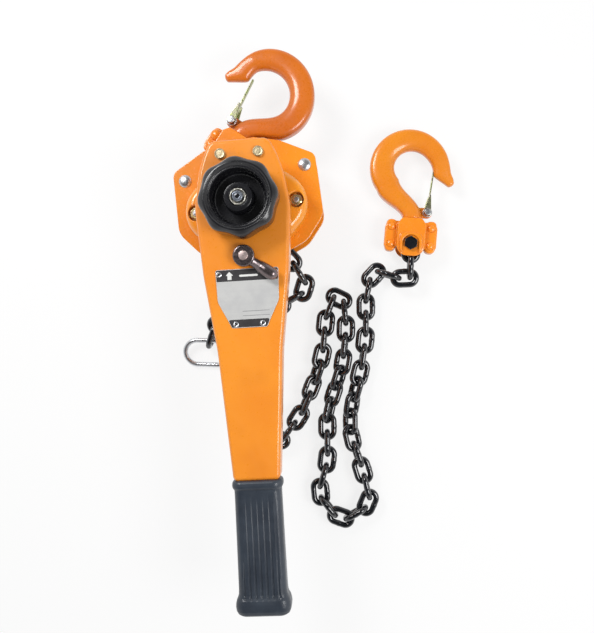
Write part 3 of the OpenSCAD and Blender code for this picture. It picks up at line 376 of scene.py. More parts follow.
def spun(rows: Sequence[Row], steps: int = 64, corner: int = 4,
         outline: Optional[Outline] = None) -> Shape:
    """A solid of revolution about the Z axis.

    The profile is a closed outline in radius and height with rounded corners. Each of its points
    runs round the axis, at its radius times what the outline function gives for it.

    Args:
        rows: profile corners as (radius, height, corner radius), counter-clockwise.
        steps: spans round the axis.
        corner: spans in each corner of the profile.
        outline: factor on the radius for (radius, angle), both arrays.

    Returns:
        The shape.
    """
    profile = rounded(rows, corner)
    r = np.maximum(profile[:, :1], 0)
    z = np.repeat(profile[:, 1:], steps, 1)
    angle = np.linspace(0, 2 * pi, steps, endpoint=False)[None, :]
    factor = outline(r, angle) if outline else 1.0
    rings = np.stack([r * factor * np.cos(angle), r * factor * np.sin(angle), z], -1)
    return Shape().grid(rings, close_rows=True)


def hexagonal(across: float) -> Outline:
    """An outline function that cuts a round profile down to a hexagon of that width."""

    def factor(r: Array, angle: Array) -> Array:
        """Share of the radius that lies inside the nearest of the six flats."""
        sixth = (angle + pi / 6) % (pi / 3) - pi / 6
        return np.minimum(1, across / 2 / np.cos(sixth) / np.maximum(r, 1e-6))

    return factor


def dome(radius: float, height: float, sunk: float = 0.3) -> Shape:
    """A rivet head: a quarter ellipse spun about the axis, on a foot that narrows a little.

    Args:
        radius: radius of the head at z = 0.
        height: height of the head.
        sunk: how far its foot reaches below z = 0.

    Returns:
        The shape.
    """
    a = np.linspace(0, pi / 2, 12)
    r = np.concatenate([[0, radius * 0.98, radius], radius * np.cos(a)])[:, None]
    z = np.concatenate([[-sunk, -sunk, -sunk / 2], height * np.sin(a)])[:, None]
    angle = np.linspace(0, 2 * pi, 48, endpoint=False)[None, :]
    return Shape().grid(np.stack([r * np.cos(angle), r * np.sin(angle), z + 0 * angle], -1))


def tube(path: Array, radius: float, sides: int) -> Array:
    """Rings round a path: at each point a circle square to the path's direction.

    The side direction at each point is the Z axis with its part along the path taken out.

    Args:
        path: points (n, 3), nowhere along Z.
        radius: radius of the rings.
        sides: points in a ring.

    Returns:
        Points (n, sides, 3).
    """
    along = unit(np.gradient(path, axis=0))
    side = unit(np.array([0.0, 0.0, 1.0]) - along * along[:, 2:])
    up = np.cross(along, side)
    a = np.linspace(0, 2 * pi, sides, endpoint=False)[None, :, None]
    return path[:, None] + radius * (side[:, None] * np.cos(a) + up[:, None] * np.sin(a))


def baked(piece: Piece, sharp: float = CRISP) -> Piece:
    """Puts a piece's modifiers into its mesh and keeps only its hard edges crisp.

    Args:
        piece: the piece.
        sharp: edges that turn by more than this many degrees stay crisp.

    Returns:
        The same piece.
    """
    bpy.context.view_layer.update()
    graph = bpy.context.evaluated_depsgraph_get()
    mesh = bpy.data.meshes.new_from_object(piece.evaluated_get(graph))
    mesh.name = piece.name
    piece.modifiers.clear()
    piece.data = mesh
    mesh.shade_smooth()
    mesh.set_sharp_from_angle(angle=radians(sharp))
    return piece


def cut(piece: Piece, tool: Piece, kind: str = "DIFFERENCE") -> None:
    """Cuts a closed piece with another one, or joins the two, and drops the tool.

    Args:
        piece: the piece that is kept.
        tool: the piece that is used up.
        kind: DIFFERENCE or UNION.
    """
    step = piece.modifiers.new("cut", "BOOLEAN")
    step.operation = kind
    step.object = tool
    step.solver = "EXACT"
    baked(piece)
    bpy.data.objects.remove(tool)


def carve(piece: Piece, shape: Shape, kind: str = "DIFFERENCE") -> None:
    """Cuts a closed piece with a shape, or joins the two, in the piece's own finish."""
    cut(piece, shape.object("tool", piece.data.materials[0]), kind)


def forged(piece: Piece, grain: float, passes: int) -> None:
    """Melts a piece into one skin of even small faces and smooths it, as a forging's edges are.

    Args:
        piece: closed solids, which may run into each other.
        grain: face size in millimetres.
        passes: rounds of smoothing.
    """
    skin = piece.modifiers.new("skin", "REMESH")
    skin.mode = "VOXEL"
    skin.voxel_size = grain * MM
    soften = piece.modifiers.new("soften", "SMOOTH")
    soften.iterations = passes
    soften.factor = 0.5
    baked(piece, 80.0)


def copy_of(node: str) -> Shape:
    """The solid of a frame node as a shape of triangles.

    Args:
        node: the node's name.

    Returns:
        The shape.
    """
    mesh = frame["nodes"][node].data
    points = np.empty(len(mesh.vertices) * 3)
    mesh.vertices.foreach_get("co", points)
    mesh.calc_loop_triangles()
    triangles = np.empty(len(mesh.loop_triangles) * 3, int)
    mesh.loop_triangles.foreach_get("vertices", triangles)
    return Shape().take(points.reshape(-1, 3) / MM, triangles.reshape(-1, 3))


# ---------------------------------------------------------------- finishes


class Nodes:
    """A short way to write one material's nodes."""

    def __init__(self, name: str) -> None:
        """Starts a material that holds one shader and its output.

        Args:
            name: the material's name.
        """
        self.material = bpy.data.materials.new(name)
        self.material.use_nodes = True
        self.tree = self.material.node_tree
        self.tree.nodes.clear()
        self.output = self.tree.nodes.new("ShaderNodeOutputMaterial")
        self.shader = self.tree.nodes.new("ShaderNodeBsdfPrincipled")
        self.tree.links.new(self.shader.outputs[0], self.output.inputs[0])
        self.place = self.tree.nodes.new("ShaderNodeTexCoord").outputs["Object"]

    def put(self, socket: str, value: object) -> None:
        """Sets a shader input to a constant, or links it."""
        target = self.shader.inputs[socket]
        if isinstance(value, Socket):
            self.tree.links.new(value, target)
        elif isinstance(value, (tuple, list)):
            target.default_value = (*value, 1.0)
        else:
            target.default_value = value

    def node(self, kind: str, inputs: dict[object, object], output: object = 0,
             **settings: object) -> Socket:
        """Adds a node and returns one of its outputs.

        Args:
            kind: the node's type.
            inputs: constants or sockets for its inputs, by name or number.
            output: the output that is returned, by name or number.
            **settings: the node's own properties.

        Returns:
            The output socket.
        """
        new = self.tree.nodes.new(kind)
        for key, value in settings.items():
            setattr(new, key, value)
        for key, value in inputs.items():
            if isinstance(value, Socket):
                self.tree.links.new(value, new.inputs[key])
            else:
                new.inputs[key].default_value = value
        return new.outputs[output]

    def mapped(self, turn: float = 0.0, stretch: Colour = (1, 1, 1)) -> Socket:
        """Object coordinates turned by degrees about Z, with patterns stretched along each axis."""
        inputs = {"Vector": self.place, "Rotation": (0, 0, radians(turn)), "Scale": stretch}
        return self.node("ShaderNodeMapping", inputs, vector_type="TEXTURE")

    def noise(self, size: float, detail: float = 3.0, rough: float = 0.55,
              place: Optional[Socket] = None, warp: float = 0.0) -> Socket:
        """Noise whose largest lumps are about size millimetres wide."""
        return self.node("ShaderNodeTexNoise", {
            "Vector": place or self.place, "Scale": 1 / (size * MM), "Detail": detail,
            "Roughness": rough, "Distortion": warp})

    def cells(self, size: float) -> Socket:
        """Distance to the nearest of points that lie about size millimetres apart."""
        return self.node("ShaderNodeTexVoronoi", {"Vector": self.place, "Scale": 1 / (size * MM)})

    def span(self, value: Socket, start: float, end: float, low_out: float = 0.0,
             high_out: float = 1.0) -> Socket:
        """A value from start to end brought to the range low_out to high_out, and held there."""
        return self.node("ShaderNodeMapRange", {0: value, 1: start, 2: end, 3: low_out, 4: high_out})

    def blend(self, amount: object, a: object, b: object) -> Socket:
        """Mixes two colours.

        Args:
            amount: share of the second one, a number or a socket.
            a: first colour, red, green and blue or a socket.
            b: second colour, likewise.

        Returns:
            The mixed colour.
        """
        pick = {0: amount}
        for key, value in ((6, a), (7, b)):
            pick[key] = value if isinstance(value, Socket) else (*value, 1.0)
        return self.node("ShaderNodeMix", pick, 2, data_type="RGBA")

    def sum(self, kind: str, a: object, b: object) -> Socket:
        """One step of arithmetic on two values."""
        return self.node("ShaderNodeMath", {0: a, 1: b}, operation=kind)

    def bump(self, height: Socket, depth: float,
             under: Optional[Socket] = None) -> Socket:
        """A surface raised by a pattern.

        Args:
            height: the pattern, from 0 to 1.
            depth: height in millimetres where the pattern is 1.
            under: another bump that this one lies on.

        Returns:
            The normal.
        """
        inputs = {"Height": height, "Distance": depth * MM, "Strength": 1.0}
        if under:
            inputs["Normal"] = under
        return self.node("ShaderNodeBump", inputs)

    def edges(self, start: float = 0.52, end: float = 0.6) -> Socket:
        """1 along worn outer edges, broken up by noise, and 0 elsewhere."""
        sharpness = self.node("ShaderNodeNewGeometry", {}, "Pointiness")
        return self.sum("MULTIPLY", self.span(sharpness, start, end),
                        self.span(self.noise(4.0, 5), 0.45, 0.6))


@dataclass(frozen=True)
class Finish:
    """A named surface in one main colour."""

    name: str
    colour: Colour

    def dress(self, n: Nodes) -> None:
        """Sets the shader of the finish's material; each kind of finish has its own way."""
        n.put("Base Color", self.colour)

    def material(self) -> Material:
        """Builds the finish.

        Returns:
            Its material.
        """
        n = Nodes(self.name)
        self.dress(n)
        return n.material


@dataclass(frozen=True)
class Enamel(Finish):
    """Sprayed enamel: orange-peel bump, faint clouds of tone, scuffs and rubbed edges."""

    shade: Colour
    rough: float = 0.3
    coat: float = 0.35
    rubbed: Colour = (0.5, 0.2, 0.06)

    def dress(self, n: Nodes) -> None:
        """Sets the shader.

        Args:
            n: the nodes of the finish's material.
        """
        clouds = n.span(n.noise(60.0, 3), 0.35, 0.68)
        grime = n.span(n.noise(26.0, 1.5, 0.5), 0.55, 0.8, 0.0, 0.2)
        base = n.blend(clouds, self.colour, self.shade)
        base = n.blend(grime, base, tuple(0.75 * c for c in self.shade))
        n.put("Base Color", n.blend(n.sum("MULTIPLY", n.edges(0.58, 0.68), 0.3), base, self.rubbed))
        scuffs = n.span(n.noise(14.0, 8, 0.7, n.mapped(25, (1, 5, 1))), 0.52, 0.78, 0.0, 0.14)
        gloss = n.span(n.noise(3.0, 3), 0.3, 0.7, self.rough - 0.04, self.rough + 0.05)
        n.put("Roughness", n.sum("ADD", gloss, scuffs))
        peel = n.bump(n.noise(2.2, 2), 0.02)
        n.put("Normal", n.bump(n.noise(30.0, 2), 0.14, peel))
        n.put("Coat Weight", self.coat)
        n.put("Coat Roughness", 0.08)


@dataclass(frozen=True)
class Plating(Finish):
    """Zinc plate: a metal with soft clouds of passivation colour and dull spots."""

    tint: Colour
    dull: Colour
    rough: float = 0.26
    emboss: float = 0.012
    emboss_size: float = 1.2

    def dress(self, n: Nodes) -> None:
        """Sets the shader.

        Args:
            n: the nodes of the finish's material.
        """
        base = n.blend(n.span(n.noise(7.0, 3, warp=0.4), 0.38, 0.62), self.colour, self.tint)
        spots = n.span(n.noise(2.6, 5, 0.65), 0.58, 0.76, 0.0, 0.6)
        n.put("Base Color", n.blend(spots, base, self.dull))
        n.put("Metallic", 0.92)
        gloss = n.span(n.noise(2.4, 4), 0.3, 0.7, self.rough - 0.07, self.rough + 0.09)
        n.put("Roughness", n.sum("ADD", gloss, n.sum("MULTIPLY", spots, 0.2)))
        n.put("Normal", n.bump(n.noise(self.emboss_size, 3), self.emboss))


@dataclass(frozen=True)
class Blacked(Finish):
    """Oiled black steel: a dark scale with faint clouds, wiped shiny where it rubs."""

    worn: Colour
    rough: float = 0.17

    def dress(self, n: Nodes) -> None:
        """Sets the shader.

        Args:
            n: the nodes of the finish's material.
        """
        paler = tuple(1.8 * c for c in self.colour)
        base = n.blend(n.span(n.noise(6.0, 4), 0.4, 0.65), self.colour, paler)
        n.put("Base Color", n.blend(n.sum("MULTIPLY", n.edges(0.53, 0.62), 0.5), base, self.worn))
        n.put("Metallic", 0.3)
        wiped = n.noise(2.2, 5, 0.65)
        n.put("Roughness", n.span(wiped, 0.3, 0.72, self.rough - 0.07, self.rough + 0.16))
        scale = n.bump(n.noise(0.8, 4, 0.6), 0.02)
        n.put("Normal", n.bump(n.noise(3.5, 2), 0.05, scale))
        n.put("Coat Weight", 1.0)
        n.put("Coat Roughness", 0.08)
        n.put("Coat IOR", 1.65)


@dataclass(frozen=True)
class Moulded(Finish):
    """Moulded plastic or rubber: a fine grain, faint flow clouds and scattered dust."""

    bloom: Colour
    rough: float
    grain: float
    grain_depth: float
    coat: float = 0.0

    def dress(self, n: Nodes) -> None:
        """Sets the shader.

        Args:
            n: the nodes of the finish's material.
        """
        clouds = n.span(n.noise(22.0, 5, 0.6), 0.4, 0.68)
        dust = n.span(n.noise(2.0, 7, 0.75), 0.6, 0.76, 0.0, 0.35)
        base = n.blend(clouds, self.colour, self.bloom)
        n.put("Base Color", n.blend(dust, base, tuple(2.2 * c + 0.01 for c in self.bloom)))
        handled = n.noise(7.0, 5, 0.65)
        n.put("Roughness", n.span(handled, 0.3, 0.7, self.rough - 0.06, self.rough + 0.1))
        fine = n.bump(n.cells(self.grain), self.grain_depth)
        n.put("Normal", n.bump(n.noise(11.0, 3), 0.03, fine))
        n.put("Coat Weight", self.coat)
        n.put("Coat Roughness", 0.18)
        n.put("Specular IOR Level", 0.45)


@dataclass(frozen=True)
class Machined(Finish):
    """Turned or milled metal: fine rings about the shaft line, and a thin film of oil."""

    tint: Colour
    rough: float = 0.32

    def dress(self, n: Nodes) -> None:
        """Sets the shader.

        Args:
            n: the nodes of the finish's material.
        """
        wave = {"Vector": n.place, "Scale": 900.0, "Distortion": 1.5, "Detail": 3.0}
        rings = n.node("ShaderNodeTexWave", wave, 1, wave_type="RINGS", rings_direction="Z")
        n.put("Base Color", n.blend(n.span(n.noise(6.0, 5), 0.4, 0.66), self.colour, self.tint))
        n.put("Metallic", 0.9)
        film = n.noise(2.0, 5, 0.7)
        n.put("Roughness", n.span(film, 0.3, 0.7, self.rough - 0.08, self.rough + 0.14))
        n.put("Normal", n.bump(n.noise(0.7, 3), 0.02, n.bump(rings, 0.012)))
        n.put("Coat Weight", 0.25)
        n.put("Coat Roughness", 0.2)


@dataclass(frozen=True)
class Brushed(Finish):
    """Brushed sheet metal: long fine lines in one direction and a few soft smears."""

    tint: Colour
    turn: float

    def dress(self, n: Nodes) -> None:
        """Sets the shader.

        Args:
            n: the nodes of the finish's material.
        """
        lines = n.noise(0.6, 6, 0.7, n.mapped(self.turn, (60, 1, 1)))
        smears = n.span(n.noise(12.0, 4), 0.42, 0.7)
        n.put("Base Color", n.blend(smears, self.colour, self.tint))
        n.put("Metallic", 0.4)
        n.put("Roughness", n.span(lines, 0.3, 0.7, 0.36, 0.52))
        n.put("Normal", n.bump(lines, 0.008))


@dataclass(frozen=True)
class Lining(Finish):
    """Pressed friction lining: brown and matte, with brass flecks."""

    fleck: Colour

    def dress(self, n: Nodes) -> None:
        """Sets the shader.

        Args:
            n: the nodes of the finish's material.
        """
        flecks = n.span(n.cells(0.9), 0.12, 0.2, 1.0, 0.0)
        n.put("Base Color", n.blend(flecks, self.colour, self.fleck))
        n.put("Roughness", n.span(n.noise(1.0, 5), 0.3, 0.7, 0.72, 0.95))
        n.put("Normal", n.bump(n.noise(0.5, 5, 0.7), 0.08))


# Both hooks wear one paint: the top hook's copy is darkened as painted shade, and the bottom hook's is
# the lighter copy.
SHADED_TOP_HOOK_ENAMEL = Enamel("Top hook enamel, darkened as painted shade", (0.67, 0.165, 0.01), (0.58, 0.13, 0.008), 0.28, 0.5)
PALE_HOOK_ENAMEL = Enamel("Lighter hook enamel", (0.82, 0.27, 0.012), (0.76, 0.22, 0.01), 0.28, 0.5)
COVER_ENAMEL = Enamel("Brake cover enamel", (0.93, 0.34, 0.015), (0.88, 0.28, 0.012), 0.22, 0.6)
EMBOSSED_ZINC = Plating("Embossed yellow zinc", (0.66, 0.56, 0.36), (0.56, 0.47, 0.3),
                        (0.34, 0.27, 0.16), 0.42, 0.2, 1.6)
NUT_ZINC = Plating("Pale nut zinc", (0.8, 0.77, 0.68), (0.72, 0.7, 0.64), (0.5, 0.47, 0.4),
                   0.34, 0.004, 3.0)
LATCH_ZINC = Plating("Olive latch zinc", (0.4, 0.46, 0.19), (0.5, 0.47, 0.36), (0.26, 0.25, 0.15),
                     0.3, 0.003, 3.0)
CAP_ZINC = Plating("Rosy pin cap", (0.72, 0.56, 0.52), (0.62, 0.5, 0.48), (0.45, 0.36, 0.34),
                   0.42, 0.004, 3.0)
SHAFT_STEEL = Plating("Bright shaft end", (0.5, 0.56, 0.66), (0.42, 0.46, 0.55),
                      (0.2, 0.22, 0.26), 0.22)
# Black for the printed bands, also used as painted shade in the eyelets' holes.
BLACK_PRINT_AND_HOLE_SHADE = Moulded("Black print and hole shade", (0.03, 0.028, 0.03), (0.045, 0.042, 0.045), 0.45, 0.5, 0.01)
PRINT_WHITE = Moulded("Pale print", (0.72, 0.72, 0.7), (0.66, 0.66, 0.64), 0.5, 0.5, 0.01)
PRINT_GREY = Moulded("Grey print", (0.2, 0.2, 0.21), (0.25, 0.25, 0.26), 0.5, 0.5, 0.01)
SLOTS = {
    "orange_paint": Enamel("Orange enamel", (0.93, 0.3, 0.013), (0.87, 0.25, 0.01), 0.24, 0.5),
    "lever_paint": Enamel("Lever enamel", (0.87, 0.29, 0.02), (0.82, 0.245, 0.014), 0.3, 0.4),
    "rubber": Moulded("Blue-black rubber", (0.024, 0.032, 0.046), (0.036, 0.047, 0.064),
                      0.4, 0.7, 0.025, 0.2),
    "wheel_plastic": Moulded("Black wheel plastic", (0.007, 0.007, 0.009), (0.012, 0.012, 0.015),
                             0.22, 0.9, 0.01, 0.5),
    "chain_black": Blacked("Oiled black chain", (0.006, 0.007, 0.01), (0.07, 0.07, 0.08)),
    "zinc_bright": Plating("Bright zinc", (0.72, 0.73, 0.75), (0.64, 0.66, 0.69),
                           (0.5, 0.51, 0.53), 0.3, 0.004, 3.0),
    "zinc_yellow": Plating("Yellow zinc", (0.86, 0.66, 0.3), (0.8, 0.72, 0.42), (0.5, 0.38, 0.18)),
    "gear_steel": Machined("Hardened gear steel", (0.42, 0.43, 0.45), (0.3, 0.31, 0.33)),
    "selector_grey": Plating("Dark die-cast zinc", (0.2, 0.165, 0.17), (0.25, 0.2, 0.2),
                             (0.12, 0.1, 0.105), 0.26, 0.004, 3.0),
    "label_aluminium": Brushed("Brushed label sheet", (0.66, 0.66, 0.65), (0.6, 0.6, 0.6), LEVER_LEAN),
    "brass": Machined("Bronze bush", (0.62, 0.42, 0.16), (0.5, 0.33, 0.12)),
    "friction": Lining("Friction lining", (0.14, 0.085, 0.05), (0.42, 0.34, 0.2)),
}


@dataclass
class Paintshop:
    """Builds each finish once, dresses the frame's nodes and fits new pieces to them."""

    made: dict[str, Material] = field(default_factory=dict)

    def coat(self, finish: Finish) -> Material:
        """The material of a finish, built at its first use."""
        if finish.name not in self.made:
            self.made[finish.name] = finish.material()
        return self.made[finish.name]

    def dress_frame(self) -> None:
        """Gives every frame node the material of its own slot."""
        for name, node in frame["nodes"].items():
            material = self.coat(SLOTS[SLOT_OF[name]])
            for slot in node.material_slots:
                slot.material = material

    def fit(self, shape: Shape, name: str, carrier: str, finish: Optional[Finish] = None,
            sharp: float = CRISP, stands_in: bool = True) -> Piece:
        """Makes a shape into a piece that rides with a frame node.

        Args:
            shape: the piece's shape.
            name: the piece's name.
            carrier: the node whose body it rides on and whose slot it has.
            finish: its finish, if it isn't the one of that slot.
            sharp: angle in degrees above which its edges stay crisp.
            stands_in: the piece is shown in place of the node.

        Returns:
            The new piece.
        """
        piece = shape.object(name, self.coat(finish or SLOTS[SLOT_OF[carrier]]), sharp)
        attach(piece, frame["nodes"][carrier]["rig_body"])
        if stands_in:
            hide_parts(carrier)
        log.info("%s: %d faces", name, len(piece.data.polygons))
        return piece


SHOP = Paintshop()


# ---------------------------------------------------------------- sheet metal


@dataclass(frozen=True)
class Plate:
    """A flat plate with holes and a small round on every edge."""

    outline: Array
    bottom: float
    top: float
    holes: tuple[Array, ...] = ()
    edge: float = 0.6

    def shape(self) -> Shape:
        """The plate: outer walls, hole walls and two flat faces.

        A wall's rings move in by edge * (1 - cos a) while they rise by edge * sin a, at both
        rims. The holes' walls do the same with the move turned round.

        Returns:
            The shape.
        """
        inward, rise = quarter(4)
        move = self.edge * np.concatenate([[1.6], inward[::-1]])
        drop = self.edge * np.concatenate([[0.0], 1 - rise[::-1]])
        moves = np.concatenate([move, move[::-1]])
        height = np.concatenate([self.bottom + drop, (self.top - drop)[::-1]])
        shape = Shape().grid(lifted(inset(self.outline, moves), height))
        for hole in self.holes:
            shape.grid(lifted(inset(hole, -moves), height))
        flat = inset(self.outline, [move[0]])[0]
        rims = [inset(hole, [-move[0]])[0] for hole in self.holes]
        return shape.flat(flat, rims, self.bottom).flat(flat, rims, self.top)


@dataclass(frozen=True)
class Pressing:
    """A pan pressed from sheet: walls, a large round at its floor, and holes in the floor."""

    outline: Array
    rim: float
    floor: float
    sheet: float
    round_in: float
    round_up: float
    holes: tuple[Array, ...] = ()

    def shape(self) -> Shape:
        """The pan, outside and inside.

        The outer wall climbs from the rim, then moves in by round_in * (1 - cos a) while it
        rises by round_up * sin a. The inner wall does the same one sheet thickness inside.

        Returns:
            The shape.
        """
        inward, rise = quarter(10)
        lip, land, least = 0.15, 0.8, 0.4  # rim's edge, flat past the round, smallest inner round
        sheet, rim, floor = self.sheet, self.rim, self.floor
        skirt, inner_floor = floor - self.round_up, floor - sheet
        move = np.concatenate([[sheet, 0.6 * sheet, lip, 0.0], self.round_in * inward,
                               [self.round_in + land]])
        height = np.concatenate([[rim, rim, rim, rim + lip], skirt + self.round_up * rise, [floor]])
        small_in, small_up = max(self.round_in - sheet, least), max(self.round_up - sheet, least)
        inner_move = np.concatenate([[sheet], sheet + small_in * inward, [sheet + small_in + land]])
        inner_height = np.concatenate([[rim], inner_floor - small_up * (1 - rise), [inner_floor]])
        shape = Shape().grid(lifted(inset(self.outline, move), height))
        shape.grid(lifted(inset(self.outline, inner_move), inner_height))
        shape.flat(inset(self.outline, move[-1:])[0], self.holes, self.floor)
        shape.flat(inset(self.outline, inner_move[-1:])[0], self.holes, inner_floor)
        for hole in self.holes:
            shape.grid(lifted(np.stack([hole, hole]), [inner_floor, self.floor]))
        return shape


@dataclass
class Housing:
    """Side plates, the two covers and what holds them together."""

    half_w: float = 75.0
    ear_y: float = 50.0
    top_y: float = 76.0
    foot_y: float = 49.0
    stay: Spot = (63.0, 40.0)
    foot_stay_y: float = 40.0
    guide: Spot = (44.0, -31.0)
    bearing_r: float = 24.0
    stud_x: float = 51.0
    pin: Spot = (-21.0, 62.0)
    cover_r: float = 52.0
    lobe_r: float = 32.0
    lobe_x: float = 30.0
    shoulder: float = 8.0
    cup_r: float = 7.8
    cup_depth: float = 10.0
    nut_w: float = 11.0
    thread_r: float = 3.1
    hub_r: float = 20.5
    gear_gap: float = 36.75
    pan_r: float = 32.0
    pan_round: float = 5.0
    room_round: float = 3.0
    sheet: float = 2.5
    stay_hole_r: float = 6.0
    guide_hole_r: float = 4.0
    stud_hole_r: float = 5.0
    idler_hole_r: float = 5.05

    def plate_outline(self, d: float) -> Array:
        """Outline of the side plates, moved inwards by d."""
        right = [(30, d - self.foot_y, 12), (56 - d, d - self.foot_y + 11, 25),
                 (self.half_w + 1 - d, -14, 20), (self.half_w - d, self.ear_y - d, 9),
                 (40, self.top_y - 7 - d, 30), (14, self.top_y - d, 12)]
        return rounded(mirrored(right), 10)

    def stays_at(self) -> list[Spot]:
        """Places of the three stays."""
        x, y = self.stay
        return [(x, y), (-x, y), (0.0, -self.foot_stay_y)]

    def plates(self) -> None:
        """Both side plates with their holes."""
        shared = [circle(spot, self.stay_hole_r, 48) for spot in self.stays_at()]
        shared += [circle((0, 0), self.bearing_r, 96), circle(self.pin, self.stay_hole_r, 48)]
        shared += [circle(spot, self.guide_hole_r, 32) for spot in pair(*self.guide)]
        studs = [circle(spot, self.stud_hole_r, 48) for spot in pair(self.stud_x, 0)]
        idlers = [circle(spot, self.idler_hole_r, 48) for spot in pair(self.gear_gap, 0)]
        for node, holes in (("front_plate", shared + studs), ("rear_plate", shared + idlers)):
            plate = Plate(self.plate_outline(0), low(node)[2], high(node)[2], tuple(holes))
            SHOP.fit(plate.shape(), f"{node}_sheet", node)

    def lobed(self) -> Array:
        """Outline of the brake cover: a round pan with a wide lobe over each pawl stud."""
        meet = degrees(np.arccos((self.cover_r - self.lobe_r) / self.lobe_x))
        return np.concatenate([
            arc((self.lobe_x, 0), self.lobe_r, -meet, meet, 48),
            arc((0, 0), self.cover_r, meet, 180 - meet, 64),
            arc((-self.lobe_x, 0), self.lobe_r, 180 - meet, 180 + meet, 48),
            arc((0, 0), self.cover_r, 180 + meet, 360 - meet, 64)])

    def brake_cover(self) -> None:
        """The brake cover: a pressed pan whose studs sit in cups cut into its rounded edge."""
        rim, floor = low("brake_cover")[2], high("brake_cover")[2]
        seat = floor - self.cup_depth
        inward, rise = quarter(12)
        levels = [(rim, 0.0), *zip(floor - self.shoulder * (1 - rise), self.shoulder * inward)]
        piece = SHOP.fit(slab(self.lobed(), levels), "brake_cover_pan", "brake_cover", COVER_ENAMEL)
        wall, small = self.sheet, self.shoulder - self.sheet
        room = [(rim - 1, wall), *zip(floor - wall - small * (1 - rise), wall + small * inward)]
        hollow = slab(self.lobed(), room).object("hollow", SHOP.coat(COVER_ENAMEL))
        for spot in pair(self.stud_x, 0):
            carve(hollow, slab(circle(spot, self.cup_r + 2), [(seat - wall, 0), (floor, 0)]))
        cut(piece, hollow)
        cup = [(seat, 0.6), (seat + 0.2, 0.17), (seat + 0.6, 0), (floor - 1.2, 0),
               (floor + 0.5, -1.7)]
        for spot in pair(self.stud_x, 0):
            carve(piece, slab(circle(spot, self.cup_r), cup))
            carve(piece, slab(circle(spot, self.stud_hole_r), [(seat - 5, 0), (seat + 1, 0)]))
        carve(piece, slab(circle((0, 0), self.hub_r, 96), [(floor - 6, 0), (floor + 1, 0)]))

    def gear_cover(self) -> None:
        """The gear cover: a deep pan on a flange with the outline of the plates."""
        bottom, top = low("gear_cover")[2], high("gear_cover")[2]
        inward, rise = quarter(10)
        pan = np.concatenate([arc((self.gear_gap, 0), self.pan_r, -90, 90, 64),
                              arc((-self.gear_gap, 0), self.pan_r, 90, 270, 64)])
        drop, inward, seat = 1 - rise[::-1], inward[::-1], top - self.sheet
        levels = [*zip(bottom + self.pan_round * drop, self.pan_round * inward), (seat + 0.01, 0)]
        holes = tuple(circle(spot, self.stay_hole_r, 48) for spot in self.stays_at())
        piece = SHOP.fit(slab(pan, levels), "gear_cover_pan", "gear_cover")
        carve(piece, Plate(self.plate_outline(1), seat, top, holes, 0.5).shape(), "UNION")
        small = self.room_round
        room = [*zip(bottom + small + small * drop, self.sheet + small * inward),
                (top + 1, self.sheet)]
        carve(piece, slab(pan, room))

    def rivets(self) -> None:
        """Heads on the stays, the top pin and the guides, over the plain ends of the frame."""
        z = high("front_plate")[2]
        heads = (("stay_heads", "stays", dome(6.8, 3.0), self.stays_at(), None),
                 ("top_pin_head", "top_pin", dome(7.5, 2.2), [self.pin], None),
                 ("painted_guide_ends", "chain_guides", dome(4.6, 0.35), pair(*self.guide),
                  SLOTS["orange_paint"]))
        for name, node, head, spots, finish in heads:
            SHOP.fit(head.repeated(spots, z), name, node, finish, stands_in=False)

    def nuts(self) -> None:
        """Hex nuts with washers: a chamfered round cut down to six flats."""
        seat = high("brake_cover")[2] - self.cup_depth
        corner = self.nut_w / 2 / cos(pi / 6)
        r = self.thread_r
        nut = [(r, 1.2, 0.2), (corner - 0.9, 1.2, 0.2), (corner, 1.7, 0.2), (corner, 7.1, 0.2),
               (corner - 1.3, 7.7, 0.2), (r + 0.7, 7.7, 0.3), (r, 7.0, 0.2)]
        washer = [(r, 0, 0.2), (7.2, 0, 0.25), (7.2, 1.2, 0.25), (r, 1.2, 0.2)]
        shape = spun(nut, 96, 3, hexagonal(self.nut_w)).join(spun(washer, 64, 3))
        SHOP.fit(shape.repeated(pair(self.stud_x, 0), seat), "hex_nuts", "cover_nuts", sharp=28)

    def studs(self) -> None:
        """The pawl studs, stepped down to a thin threaded end inside their nuts."""
        z, top = low("pawl_studs")[2], high("pawl_studs")[2]
        seat = high("brake_cover")[2] - self.cup_depth
        r, thread = self.stud_hole_r, self.thread_r
        rows = [(0, z, 0), (r, z, 0.4), (r, seat, 0.2), (thread, seat, 0.1),
                (thread, top - 0.7, 0.1), (thread - 0.7, top, 0.2), (0, top, 0)]
        SHOP.fit(spun(rows, 48, 3).repeated(pair(self.stud_x, 0)), "stepped_studs", "pawl_studs")

    def build(self) -> None:
        """Makes the housing's pieces."""
        self.plates()
        self.brake_cover()
        self.gear_cover()
        self.rivets()
        self.nuts()
        self.studs()


# ---------------------------------------------------------------- chain


